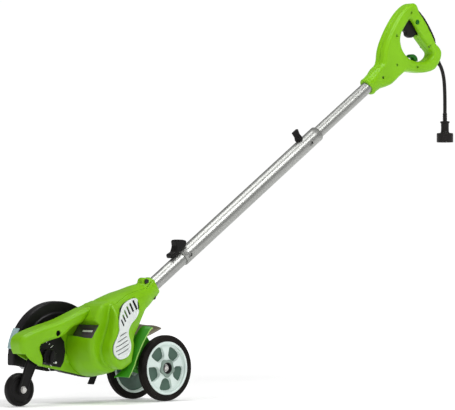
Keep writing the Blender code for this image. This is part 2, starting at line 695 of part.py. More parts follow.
def make_depth_arm():
    route = [PIVOT, (-0.2740, 0.0970), (-0.2900, 0.0880), (-0.3020, 0.0660), FRONT_WHEEL]
    loop = stroke(route, [0.028, 0.028, 0.026, 0.024, 0.022])
    arm = as_mesh(plate("depth_arm", [loop], -0.002, 0.002, PIVOT))
    hub = cylinder("depth_hub", 0.009, 0.0195, (PIVOT[0], 0.0112, PIVOT[1]), TO_RIGHT)
    boolean(arm, hub, "UNION")
    bore(arm, PIVOT, 0.0043)
    bore(arm, FRONT_WHEEL, 0.0043, -0.010, 0.010)
    paint(arm, BLACK, 0.4)


def make_depth_knob():
    centre = (PIVOT[0], 0.0, PIVOT[1])
    profile = [(0.0, 0.0300), (0.004, 0.0300), (0.004, -0.0026), (0.0145, -0.0026), (0.0155, -0.0050),
               (0.0150, -0.0140), (0.013, -0.0165), (0.0, -0.0165)]
    paint(turned("depth_knob", profile, centre, TO_RIGHT, 24, closed=False), BLACK, 0.3)


def make_front_wheel():
    centre = (FRONT_WHEEL[0], 0.0, FRONT_WHEEL[1])
    low, high = FRONT_Y
    profile = [(0.0285, high), (0.0312, high - 0.002), (FRONT_R, high - 0.005), (FRONT_R, low + 0.005),
               (0.0312, low + 0.002), (0.0285, low), (0.004 + GAP, low), (0.004 + GAP, high)]
    paint(turned("front_wheel", profile, centre, TO_RIGHT, 32), BLACK, 0.35)
    bolt = [(0.0, 0.0235), (0.007, 0.0235), (0.007, 0.0200), (0.004, 0.0200), (0.004, -0.0024),
            (0.0065, -0.0024), (0.0065, -0.0060), (0.005, -0.0068), (0.0, -0.0068)]
    paint(turned("front_wheel_bolt", bolt, centre, TO_RIGHT, 18, closed=False), STEEL, 0.25, 1.0)


# ---------------------------------------------------------------- shaft
def make_shaft():
    for name, (inner, outer, start, end) in [("lower_tube", LOWER_TUBE), ("middle_tube", MIDDLE_TUBE),
                                             ("upper_tube", UPPER_TUBE)]:
        tube = turned(name, [(outer - 0.0005, end - start), (outer, end - start - 0.0008), (outer, 0.0008),
                             (outer - 0.0005, 0.0), (inner, 0.0), (inner, end - start)],
                      on_shaft(start), ALONG_SHAFT, 24)
        paint(tube, SILVER, 0.25, 1.0)
    knob_hole = cylinder("knob_hole", 0.0034, 0.020, on_shaft(0.501, 0.018), (0.0, -SHAFT_ANGLE, 0.0), 16)
    boolean(bpy.data.objects["middle_tube"], knob_hole)
    holder = ring("tube_holder", 0.0143, 0.0190, 0.0, 0.030, on_shaft(-0.108), ALONG_SHAFT, 28)
    paint(holder, BLACK, 0.5)


def make_clamps():
    foot = on_shaft(0.0715, 0.0216)
    outline = [(-0.0050, -0.0010), (-0.0030, -0.0045), (0.0020, -0.0045), (0.0080, -0.0043), (0.0200, -0.0040),
               (0.0385, -0.0026), (0.0450, 0.0060), (0.0255, 0.0205), (0.0190, 0.0110), (0.0100, 0.0040),
               (0.0040, 0.0040), (-0.0025, 0.0045)]
    data = flat_curve("lower_lever", [outline], 0.009)
    lever = add("lower_lever", data, foot, (math.pi / 2, -SHAFT_ANGLE, 0.0))
    paint(lever, BLACK, 0.3)
    base = on_shaft(0.501)
    stem = turned("upper_knob", [(0.0, 0.0215), (0.0055, 0.0215), (0.0075, 0.0200), (0.0095, 0.0172),
                                 (0.0030, 0.0172), (0.0030, 0.0131), (0.0, 0.0131)],
                  base, (0.0, -SHAFT_ANGLE, 0.0), 16, closed=False)
    wing = [(-0.0085, 0.0400), (0.0085, 0.0400), (0.0070, 0.0280), (0.0095, 0.0205), (-0.0095, 0.0205),
            (-0.0070, 0.0280)]
    wings = as_mesh(add("wings", flat_curve("wings", [wing], 0.003), base, (math.pi / 2, -SHAFT_ANGLE, 0.0)))
    boolean(stem, wings, "UNION")
    paint(stem, BLACK, 0.3)


# ---------------------------------------------------------------- handle
HANDLE_OUTER = [(0.6035, 0.6590), (0.6320, 0.6815), (0.6510, 0.6960), (0.6560, 0.7230), (0.6660, 0.7480),
                (0.6850, 0.7790), (0.7070, 0.8060), (0.7290, 0.8240), (0.7470, 0.8310), (0.7570, 0.8260),
                (0.7640, 0.8120), (0.7760, 0.8000), (0.7900, 0.7840), (0.8040, 0.7650), (0.8150, 0.7480),
                (0.8260, 0.7400), (0.8340, 0.7290), (0.8320, 0.7140), (0.8220, 0.6990), (0.8090, 0.6880),
                (0.7760, 0.6810), (0.7280, 0.6820), (0.7090, 0.6740), (0.6840, 0.6560), (0.6570, 0.6390),
                (0.6400, 0.6300), (0.6270, 0.6275)]
HANDLE_OPENING = [(0.7350, 0.7950), (0.7270, 0.7880), (0.7150, 0.7730), (0.7070, 0.7610), (0.7050, 0.7450),
                  (0.7120, 0.7270), (0.7280, 0.7130), (0.7480, 0.7060), (0.7810, 0.7060), (0.7990, 0.7140),
                  (0.8060, 0.7250), (0.7960, 0.7350), (0.7720, 0.7570), (0.7560, 0.7750), (0.7430, 0.7900)]
GRIP_IN = Vector((0.7071, 0.0, 0.7071))        # from the hand opening into the grip
GRIP_DOWN = Vector((0.7071, 0.0, -0.7071))     # down along the grip
TRIGGER_PIVOT = (0.7470, 0.8000)
BUTTON = (0.7550, 0.7900)
GLAND_START = Vector((0.8190, 0.0, 0.7290))
GLAND_DIR = Vector((0.64, 0.0, -0.77)).normalized()
GLAND_LENGTH = 0.034


def make_handle():
    outer, opening = rounded(HANDLE_OUTER, 2), rounded(HANDLE_OPENING, 2)
    for name, side in [("handle_left", -1), ("handle_right", 1)]:
        low, high = sorted((side * GAP / 2, side * HANDLE_HALF))
        half = as_mesh(plate(name, [outer, opening], low, high))
        deep = side * (HANDLE_HALF - WALL)
        hollow_low, hollow_high = sorted((-side * 0.001, deep))
        hollow = plate(name + "_hollow", [inset(outer, WALL), inset(opening, -WALL)], hollow_low, hollow_high)
        boolean(half, as_mesh(hollow))
        bore_shaft(half, UPPER_TUBE[1] + GAP, 0.700, 0.7855)
        slot_place = Vector((0.7545, 0.0, 0.7830)) - GRIP_IN * 0.003
        slot = block(name + "_trigger_slot", (0.046, 0.0135, 0.016), slot_place, (0.0, math.pi / 4, 0.0))
        boolean(half, slot)
        gland = cylinder(name + "_gland_hole", 0.0068, 0.040, GLAND_START + GLAND_DIR * 0.010,
                         (0.0, math.acos(GLAND_DIR.z), 0.0))
        boolean(half, gland)
        if side < 0:
            bore(half, BUTTON, 0.0053, -0.022, -0.008)
        paint(smooth(half), GREEN, 0.35)


def make_grip_pad():
    """The rubber strip behind the palm, laid on the handle's outer edge."""
    outer = rounded(HANDLE_OUTER, 2)
    inner = inset(outer, -GAP)[20:30]
    raised = inset(outer, -0.0040)[21:29]
    loop = inner + raised[::-1]
    return paint(plate("grip_pad", [loop], -0.0105, 0.0105), RUBBER, 0.85)


def make_controls():
    outline = [(0.7440, 0.8010), (0.7360, 0.7935), (0.7240, 0.7810), (0.7220, 0.7720), (0.7310, 0.7680),
               (0.7340, 0.7600), (0.7460, 0.7560), (0.7570, 0.7600), (0.7640, 0.7680), (0.7700, 0.7750),
               (0.7620, 0.7830), (0.7500, 0.8010)]
    trigger = plate("trigger", [outline], -0.0060, 0.0060, TRIGGER_PIVOT)
    paint(trigger, BLACK, 0.35)
    button = turned("lock_button", [(0.0, 0.0010), (0.0040, 0.0010), (0.0050, 0.0), (0.0050, -0.0035),
                                    (0.0060, -0.0035), (0.0060, -0.0050), (0.0, -0.0050)],
                    (BUTTON[0], -HANDLE_HALF, BUTTON[1]), TO_LEFT, 18, closed=False)
    paint(button, DARK_GREEN, 0.4)
    switch = block("switch_module", (0.020, 0.018, 0.012), (0.7870, 0.0, 0.7630), (0.0, math.pi / 4, 0.0))
    paint(switch, (0.08, 0.08, 0.09), 0.5)
    hook = [(0.7400, 0.7140), (0.7450, 0.7195), (0.7550, 0.7205), (0.7640, 0.7160), (0.7670, 0.7090),
            (0.7660, 0.7064), (0.7560, 0.7064), (0.7540, 0.7110), (0.7480, 0.7130)]
    paint(plate("cord_hook", [hook], -0.0060, 0.0060), DARK_GREEN, 0.4)


# ---------------------------------------------------------------- cord and plug
CORD_END = GLAND_START + GLAND_DIR * (GLAND_LENGTH + GAP)
CORD_START = CORD_END + GLAND_DIR * 0.008
CORD_ROUTE = [(CORD_END.x, CORD_END.z), (CORD_START.x, CORD_START.z), (0.8518, 0.6840), (0.8557, 0.6680),
              (0.8577, 0.6480), (0.8585, 0.6220), (0.8585, 0.5960)]


def spline_through(points, steps):
    """An open smooth curve through the points, ends included."""
    out = []
    for i in range(len(points) - 1):
        p0 = Vector(points[max(i - 1, 0)])
        p1, p2 = Vector(points[i]), Vector(points[i + 1])
        p3 = Vector(points[min(i + 2, len(points) - 1)])
        for j in range(steps):
            t = j / steps
            out.append(0.5 * ((2 * p1) + (p2 - p0) * t + (2 * p0 - 5 * p1 + 4 * p2 - p3) * t * t
                              + (3 * p1 - p0 - 3 * p2 + p3) * t ** 3))
    out.append(Vector(points[-1]))
    return out


def make_cord():
    data = bpy.data.curves.new("cord", "CURVE")
    data.dimensions = "3D"
    data.bevel_depth = CORD_R
    data.bevel_resolution = 2
    data.use_fill_caps = True
    points = spline_through(CORD_ROUTE, 2)
    spline = data.splines.new("POLY")
    spline.points.add(len(points) - 1)
    for node, (x, z) in zip(spline.points, points):
        node.co = (x, 0.0, z, 1.0)
    paint(add("cord", data), BLACK, 0.6)
    gland = turned("cord_gland", [(0.0, GLAND_LENGTH), (0.0047, GLAND_LENGTH), (0.0062, 0.0140), (0.0062, 0.0025),
                                  (0.0080, 0.0025), (0.0080, 0.0), (0.0, 0.0)],
                   GLAND_START, (0.0, math.acos(GLAND_DIR.z), 0.0), 18, closed=False)
    paint(gland, BLACK, 0.6)


def make_plug():
    top = CORD_ROUTE[-1][1] - GAP
    profile = [(0.0, 0.0), (0.0045, 0.0), (0.0050, -0.0170), (0.0104, -0.0180), (0.0104, -0.0210),
               (0.0088, -0.0225), (0.0088, -0.0400), (0.0100, -0.0430), (0.0180, -0.0440), (0.0182, -0.0640),
               (0.0160, -0.0640), (0.0160, -0.0520), (0.0, -0.0520)]
    plug = turned("plug", profile, (CORD_ROUTE[-1][0], 0.0, top), (0.0, 0.0, 0.0), 28, closed=False)
    for k, shift in enumerate((-0.0064, 0.0064)):
        prong = block("prong_%d" % k, (0.0015, 0.0063, 0.0120), (CORD_ROUTE[-1][0] + shift, 0.0, top - 0.0575))
        boolean(plug, prong, "UNION")
    paint(plug, BLACK, 0.5)


def main():
    make_frame_plate()
    make_motor_housing()
    make_left_cover()
    make_vent_panel()
    make_arm_cover()
    make_gear_case()
    make_blade_guard()
    make_guard_flaps()
    make_scale_plate()
    make_wheel_carrier()
    make_gears()
    make_motor()
    make_spindle()
    make_rear_wheels()
    make_depth_arm()
    make_depth_knob()
    make_front_wheel()
    make_shaft()
    make_clamps()
    make_handle()
    make_grip_pad()
    make_controls()
    make_cord()
    make_plug()


main()
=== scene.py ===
"""Looks of the lawn edger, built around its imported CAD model."""
import math

import bmesh
import bpy
import numpy as np
from mathutils import Matrix, Vector


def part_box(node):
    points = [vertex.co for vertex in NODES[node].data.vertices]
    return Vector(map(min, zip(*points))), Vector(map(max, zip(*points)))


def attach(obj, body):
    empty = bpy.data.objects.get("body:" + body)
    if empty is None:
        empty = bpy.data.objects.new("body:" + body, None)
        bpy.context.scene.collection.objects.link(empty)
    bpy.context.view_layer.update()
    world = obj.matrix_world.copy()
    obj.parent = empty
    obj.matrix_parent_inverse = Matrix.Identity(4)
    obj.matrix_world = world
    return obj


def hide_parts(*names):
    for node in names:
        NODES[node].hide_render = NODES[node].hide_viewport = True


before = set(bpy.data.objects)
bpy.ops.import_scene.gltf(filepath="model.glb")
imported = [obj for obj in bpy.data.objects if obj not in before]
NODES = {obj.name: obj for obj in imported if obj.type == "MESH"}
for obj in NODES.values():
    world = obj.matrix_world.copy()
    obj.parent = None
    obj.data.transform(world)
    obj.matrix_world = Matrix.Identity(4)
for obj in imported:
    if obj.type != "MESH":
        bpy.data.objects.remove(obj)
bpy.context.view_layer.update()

# Every place below is measured from the rear axle line; AX carries it to the frame.
low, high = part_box("rear_axle")
AX = (low.x + high.x) / 2
ANGLE = math.radians(34.52)
FOOT = (0.0108, 0.2277)
DX, DZ = math.cos(ANGLE), math.sin(ANGLE)
MOTOR = (-0.12985, 0.11205)
SPINDLE = (-0.187, 0.088)
BULB = (-0.1180, 0.1050)
PIVOT = (-0.256, 0.093)
FRONT = (-0.316, 0.032)
TRACK = 0.0978
WHEEL_R = 0.065
SPLIT_Y = 0.0237
SOCKET_R = 0.0198
BORE_R = 0.0143
DIAGONAL = 0.7071


def W(x, y, z):
    """From axle coordinates to the frame."""
    return Vector((x + AX, y, z))


def shaft_point(t, up=0.0, side=0.0):
    """A place in axle coordinates, t along the shaft from its foot."""
    return (FOOT[0] + DX * t - DZ * up, side, FOOT[1] + DZ * t + DX * up)


def on_shaft(t, up=0.0, side=0.0):
    return W(*shaft_point(t, up, side))


# ------------------------------------------------------------------ camera and cord
def make_camera():
    azimuth, elevation, distance = math.radians(-42.31), math.radians(-0.70), 5.5
    target = W(0.2116, 0.0, 0.3885)
    back = Vector((math.sin(azimuth) * math.cos(elevation), -math.cos(azimuth) * math.cos(elevation),
                   math.sin(elevation)))
    data = bpy.data.cameras.new("camera")
    data.sensor_width = 36.0
    data.lens = 213.5
    data.clip_end = 100.0
    cam = bpy.data.objects.new("camera", data)
    cam.location = target + back * distance
    cam.rotation_mode = "QUATERNION"
    cam.rotation_quaternion = (-back).to_track_quat("-Z", "Y")
    bpy.context.scene.collection.objects.link(cam)
    bpy.context.scene.camera = cam


make_camera()

GLAND_START = Vector((0.8190, 0.0, 0.7290))
GLAND_DIR = Vector((0.64, 0.0, -0.77)).normalized()
GLAND_LENGTH = 0.034
CORD_END = GLAND_START + GLAND_DIR * (GLAND_LENGTH + 0.0003)
CORD_START = CORD_END + GLAND_DIR * 0.008
ROUTE = [(CORD_END.x, CORD_END.z), (CORD_START.x, CORD_START.z), (0.8518, 0.6840), (0.8557, 0.6680),
         (0.8577, 0.6480), (0.8585, 0.6220), (0.8585, 0.5960)]


def through(points, steps, closed=False):
    """A smooth curve through points (Catmull-Rom)."""
    out = []
    n = len(points)
    for i in range(n if closed else n - 1):
        if closed:
            picks = [points[(i + k - 1) % n] for k in range(4)]
        else:
            picks = [points[min(max(i + k - 1, 0), n - 1)] for k in range(4)]
        p0, p1, p2, p3 = (Vector(p) for p in picks)
        for j in range(steps):
            t = j / steps
            out.append(tuple(0.5 * ((2 * p1) + (p2 - p0) * t + (2 * p0 - 5 * p1 + 4 * p2 - p3) * t * t
                                    + (3 * p1 - p0 - 3 * p2 + p3) * t ** 3)))
    if not closed:
        out.append(tuple(points[-1]))
    return out


# ------------------------------------------------------------------ materials
def shader(name, colour, rough=0.4, metal=0.0, mottle=0.05, patch=18.0, rough_swing=0.06, grain=700.0,
           bump=0.05, coat=0.0, streak=False, edge=0.0, dust=0.0, specular=0.5,
           dust_colour=(0.45, 0.42, 0.36)):
    mat = bpy.data.materials.new(name)
    mat.use_nodes = True
    tree = mat.node_tree
    link = tree.links.new
    main = tree.nodes["Principled BSDF"]
    main.inputs["Metallic"].default_value = metal
    main.inputs["Coat Weight"].default_value = coat
    main.inputs["Coat Roughness"].default_value = 0.12
    main.inputs["Specular IOR Level"].default_value = specular
    coord = tree.nodes.new("ShaderNodeTexCoord").outputs["Object"]
    fine = coord
    if streak:
        turn = tree.nodes.new("ShaderNodeMapping")
        turn.inputs["Rotation"].default_value = (0.0, ANGLE, 0.0)
        link(coord, turn.inputs["Vector"])
        stretch = tree.nodes.new("ShaderNodeMapping")
        stretch.inputs["Scale"].default_value = (0.04, 1.0, 1.0)
        link(turn.outputs[0], stretch.inputs["Vector"])
        fine = stretch.outputs[0]

    def noise(scale, detail, vector, roughness=0.55):
        node = tree.nodes.new("ShaderNodeTexNoise")
        node.inputs["Scale"].default_value = scale
        node.inputs["Detail"].default_value = detail
        node.inputs["Roughness"].default_value = roughness
        link(vector, node.inputs["Vector"])
        return node.outputs["Fac"]

    def span(value, a, b, c, d):
        node = tree.nodes.new("ShaderNodeMapRange")
        for key, number in zip(("From Min", "From Max", "To Min", "To Max"), (a, b, c, d)):
            node.inputs[key].default_value = number
        link(value, node.inputs["Value"])
        return node.outputs["Result"]

    def mix(factor, first, second):
        node = tree.nodes.new("ShaderNodeMix")
        node.data_type = "RGBA"
        for socket, value in ((node.inputs[0], factor), (node.inputs[6], first), (node.inputs[7], second)):
            if isinstance(value, tuple):
                socket.default_value = (*value, 1.0)
            else:
                link(value, socket)
        return node.outputs[2]

    darker = tuple(c * (1.0 - mottle) for c in colour)
    lighter = tuple(min(1.0, c * (1.0 + mottle) + 0.002) for c in colour)
    shade = mix(span(noise(patch, 4.0, coord), 0.35, 0.65, 0.0, 1.0), darker, lighter)
    if dust > 0.0:
        where = span(noise(patch * 2.3, 6.0, coord, 0.7), 0.52, 0.78, 0.0, dust)
        shade = mix(where, shade, dust_colour)
    # Pointiness lightens convex edges towards a paler copy of the colour: a painted highlight along edges.
    if edge > 0.0:
        point = tree.nodes.new("ShaderNodeNewGeometry").outputs["Pointiness"]
        pale = tuple(min(1.0, c * 1.5 + 0.05) for c in colour)
        shade = mix(span(point, 0.515, 0.60, 0.0, edge), shade, pale)
    link(shade, main.inputs["Base Color"])
    link(span(noise(patch * 4.0, 5.0, fine), 0.3, 0.7, rough - rough_swing, rough + rough_swing),
         main.inputs["Roughness"])
    if bump > 0.0:
        node = tree.nodes.new("ShaderNodeBump")
        node.inputs["Strength"].default_value = bump
        node.inputs["Distance"].default_value = 0.0004
        link(noise(grain, 3.0, fine), node.inputs["Height"])
        link(node.outputs[0], main.inputs["Normal"])
    return mat


# edge= sets the strength of the painted highlight along convex edges.
MATS = {
    "green": shader("green_shell", (0.190, 0.460, 0.001), 0.38, mottle=0.05, grain=1500,
                    bump=0.035, coat=0.03,
                    edge=0.20, rough_swing=0.06, specular=0.22),
    # A darker copy of the green shell: painted shade on the fender wall and the axle bracket webs.
    "fender": shader("green_fender", (0.030, 0.230, 0.005), 0.42, mottle=0.06, grain=1500,
                     bump=0.05, edge=0.3,
                     specular=0.3),
    # A lighter copy of the green shell: painted highlight on the lit outer edge of the fender.
    "fender_lip": shader("green_fender_lip", (0.300, 0.560, 0.110), 0.38, mottle=0.05, grain=1500, bump=0.04),
    "hook": shader("green_hook", (0.008, 0.110, 0.006), 0.42, mottle=0.06, grain=1500, bump=0.05, edge=0.1,
                   specular=0.15),
    "black": shader("black_moulding", (0.0065, 0.0060, 0.0060), 0.36, mottle=0.25,
                    grain=1300, bump=0.10, edge=0.12,
                    dust=0.01, specular=0.12),
    "guard": shader("black_guard", (0.0090, 0.0080, 0.0090), 0.32, mottle=0.25, grain=900,
                    bump=0.05, edge=0.12,
                    dust=0.01, specular=0.12),
    "tyre": shader("tyre_rubber", (0.0065, 0.0048, 0.0038), 0.55, mottle=0.3, grain=1100,
                   bump=0.25, dust=0.03,
                   specular=0.10),
    "rubber": shader("grip_rubber", (0.0065, 0.0065, 0.0065), 0.66, mottle=0.25,
                     grain=1600, bump=0.30, dust=0.02,
                     specular=0.15),
    "cord": shader("cord_sheath", (0.0070, 0.0055, 0.0050), 0.42, mottle=0.25, grain=1500,
                   bump=0.06, specular=0.2),
    "hub": shader("hub_plastic", (0.680, 0.780, 0.740), 0.36, mottle=0.04, grain=1200, bump=0.05, edge=0.2),
    # A dark copy of the hub colour: painted shade in the hollow of the hub.
    "recess_shade": shader("hub_recess", (0.050, 0.105, 0.075), 0.45, mottle=0.08, grain=1200, bump=0.08),
    "boss": shader("hub_boss", (0.200, 0.270, 0.230), 0.42, mottle=0.08, grain=1200, bump=0.08),
    "vent": shader("vent_plastic", (0.700, 0.740, 0.715), 0.34, mottle=0.03, grain=1500, bump=0.04, edge=0.2),
    # A darker copy of the vent colour: painted shade on the groove floors.
    "groove": shader("vent_groove", (0.280, 0.320, 0.310), 0.5, mottle=0.06, grain=1500, bump=0.04),
    # Near-black: painted shade behind the vent slots and in the arm's screw well; also the colour of the
    # black screw heads and the hub's centre recess.
    "void": shader("vent_dark", (0.006, 0.006, 0.006), 0.7, mottle=0.2, grain=800, bump=0.1),
    "tube": shader("satin_tube", (0.330, 0.335, 0.320), 0.36, 0.70, mottle=0.03, grain=500, bump=0.008,
                   streak=True, rough_swing=0.03),
    "steel": shader("turned_steel", (0.56, 0.55, 0.53), 0.28, 1.0, mottle=0.06, grain=900, bump=0.05),
    "blade": shader("ground_blade", (0.42, 0.42, 0.43), 0.34, 1.0, mottle=0.10, grain=600,
                    bump=0.08, dust=0.06),
    "core": shader("laminated_core", (0.22, 0.22, 0.23), 0.5, 0.9, mottle=0.15, grain=900, bump=0.2),
    "copper": shader("enamelled_copper", (0.62, 0.25, 0.09), 0.35, 0.8, mottle=0.12, grain=1200, bump=0.2),
    "fan": shader("fan_plastic", (0.72, 0.72, 0.68), 0.45, mottle=0.04, grain=900, bump=0.05),
    "teal": shader("flap_plastic", (0.300, 0.430, 0.440), 0.22, mottle=0.08, grain=900, bump=0.03, coat=0.3),
    "flap": shader("rear_flap_plastic", (0.165, 0.135, 0.095), 0.40, mottle=0.18,
                   grain=700, bump=0.10, dust=0.12),
    "label": shader("blank_label", (0.060, 0.038, 0.062), 0.16, mottle=0.15, patch=30, grain=500, bump=0.01,
                    coat=0.5),
    "mark": shader("printed_mark", (0.72, 0.72, 0.70), 0.5, mottle=0.05, grain=900, bump=0.02),
}


def dress(obj, key):
    obj.data.materials.clear()
    obj.data.materials.append(MATS[key])
    return obj


# ------------------------------------------------------------------ mesh helpers
def link(obj):
    bpy.context.scene.collection.objects.link(obj)
    return obj


def smooth(obj, angle=40.0):
    obj.data.shade_smooth()
    if angle:
        obj.data.set_sharp_from_angle(angle=math.radians(angle))
    return obj


def as_mesh(obj):
    """The evaluated mesh of an object as a new object, with its place in its vertices."""
    bpy.context.view_layer.update()
    graph = bpy.context.evaluated_depsgraph_get()
    mesh = bpy.data.meshes.new_from_object(obj.evaluated_get(graph))
    mesh.transform(obj.matrix_world)
    name = obj.name
    bpy.data.objects.remove(obj, do_unlink=True)
    weld = bmesh.new()
    weld.from_mesh(mesh)
    bmesh.ops.remove_doubles(weld, verts=weld.verts, dist=0.00001)
    bmesh.ops.recalc_face_normals(weld, faces=weld.faces)
    weld.to_mesh(mesh)
    weld.free()
    return link(bpy.data.objects.new(name, mesh))


def join(name, objs):
    """Several meshes as one piece, keeping their materials."""
    whole = bmesh.new()
    mats = []
    for obj in objs:
        part = obj.data.copy()
        part.transform(obj.matrix_world)
        base = len(mats)
        mats += list(obj.data.materials) or [None]
        values = np.zeros(len(part.polygons), np.int32)
        part.polygons.foreach_get("material_index", values)
        part.polygons.foreach_set("material_index", values + base)
        whole.from_mesh(part)
        bpy.data.meshes.remove(part)
    mesh = bpy.data.meshes.new(name)
    whole.to_mesh(mesh)
    whole.free()
    for obj in objs:
        bpy.data.objects.remove(obj, do_unlink=True)
    for mat in mats:
        mesh.materials.append(mat)
    return link(bpy.data.objects.new(name, mesh))


def slab(name, loops, y_low, y_high, bevel=0.0008, key="green"):
    """A flat piece parallel to XZ with rounded edges."""
    data = bpy.data.curves.new(name, "CURVE")
    data.dimensions = "2D"
    data.fill_mode = "BOTH"
    data.extrude = (y_high - y_low) / 2 - bevel
    data.bevel_depth = bevel
    data.offset = -bevel
    data.bevel_resolution = 2
    for loop in loops:
        spline = data.splines.new("POLY")
        spline.points.add(len(loop) - 1)
        for point, (x, z) in zip(spline.points, loop):
            point.co = (x, z, 0.0, 1.0)
        spline.use_cyclic_u = True
    obj = link(bpy.data.objects.new(name, data))
    obj.rotation_euler = (math.pi / 2, 0.0, 0.0)
    obj.location = (AX, (y_low + y_high) / 2, 0.0)
    return dress(smooth(as_mesh(obj)), key)


def lathe(name, profile, place, direction, key, steps=64, closed=False, angle=35.0):
    """A turned piece: (radius, height) points round an axis from place along direction."""
    mesh = bpy.data.meshes.new(name)
    shape = bmesh.new()
    rows = []
    for k in range(steps):
        a = 2 * math.pi * k / steps
        rows.append([shape.verts.new((r * math.cos(a), r * math.sin(a), h)) for r, h in profile])
    count = len(profile)
    for k in range(steps):
        first, second = rows[k], rows[(k + 1) % steps]
        for i in range(count if closed else count - 1):
            j = (i + 1) % count
            shape.faces.new((first[i], second[i], second[j], first[j]))
    bmesh.ops.remove_doubles(shape, verts=shape.verts, dist=0.000001)
    bmesh.ops.dissolve_degenerate(shape, edges=shape.edges, dist=0.0000001)
    bmesh.ops.recalc_face_normals(shape, faces=shape.faces)
    shape.to_mesh(mesh)
    shape.free()
    turn = Vector(direction).normalized().to_track_quat("Z", "Y").to_matrix().to_4x4()
    mesh.transform(Matrix.Translation(place) @ turn)
    return dress(smooth(link(bpy.data.objects.new(name, mesh)), angle), key)


def soft(points, radius, steps=4):
    """Rounds the corners of a turned profile."""
    out = [points[0]]
    for before, corner, after in zip(points, points[1:], points[2:]):
        b, c, a = Vector(before), Vector(corner), Vector(after)
        cut = min(radius, (b - c).length * 0.45, (a - c).length * 0.45)
        start, end = c + (b - c).normalized() * cut, c + (a - c).normalized() * cut
        for k in range(steps + 1):
            t = k / steps
            out.append(tuple(start * (1 - t) ** 2 + c * 2 * t * (1 - t) + end * t * t))
    out.append(points[-1])
    return out


def arc(centre, radius, start, end, steps):
    out = []
    for i in range(steps + 1):
        a = math.radians(start + (end - start) * i / steps)
        out.append((centre[0] + radius * math.cos(a), centre[1] + radius * math.sin(a)))
    return out


def placed(obj, matrix):
    """Moves a solid that was made round the origin."""
    obj.data.transform(Matrix.Translation((-AX, 0.0, 0.0)))
    obj.data.transform(matrix)
    return obj


def show(obj, body, slot, *nodes):
    """The piece rides on its body and stands for its CAD nodes; slot is not used."""
    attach(obj, body)
    if nodes:
        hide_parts(*nodes)
    return obj


def lofted(name, first, second, y_first, y_second, thickness, bulge, key):
    """A curved sheet between two edge lines, with a convex middle."""
    a, c = through(first, 10), through(second, 10)
    rows = 14
    points, faces = [], []
    for k in range(rows + 1):
        v = k / rows
        for i, (p, q) in enumerate(zip(a, c)):
            before, after = a[max(i - 1, 0)], a[min(i + 1, len(a) - 1)]
            slope = Vector((after[0] - before[0], after[1] - before[1])).normalized()
            push = bulge * 4 * v * (1 - v)
            points.append(W(p[0] * (1 - v) + q[0] * v - slope.y * push, y_first * (1 - v) + y_second * v,
                            p[1] * (1 - v) + q[1] * v + slope.x * push))
    n = len(a)
    for k in range(rows):
        for i in range(n - 1):
            faces.append((k * n + i, k * n + i + 1, (k + 1) * n + i + 1, (k + 1) * n + i))
    mesh = bpy.data.meshes.new(name)
    mesh.from_pydata(points, [], faces)
    obj = link(bpy.data.objects.new(name, mesh))
    thick = obj.modifiers.new("thick", "SOLIDIFY")
    thick.thickness = thickness
    thick.offset = 0.0
    round_edge = obj.modifiers.new("round", "BEVEL")
    round_edge.width = thickness * 0.3
    round_edge.segments = 2
    round_edge.angle_limit = math.radians(60)
    return dress(smooth(as_mesh(obj), 35), key)


def wire(name, points, radius, resolution):
    """A round curve through points in axle coordinates."""
    data = bpy.data.curves.new(name, "CURVE")
    data.dimensions = "3D"
    data.bevel_depth = radius
    data.bevel_resolution = resolution
    data.use_fill_caps = True
    spline = data.splines.new("POLY")
    spline.points.add(len(points) - 1)
    for node, (x, y, z) in zip(spline.points, points):
        node.co = (x + AX, y, z, 1.0)
    return link(bpy.data.objects.new(name, data))


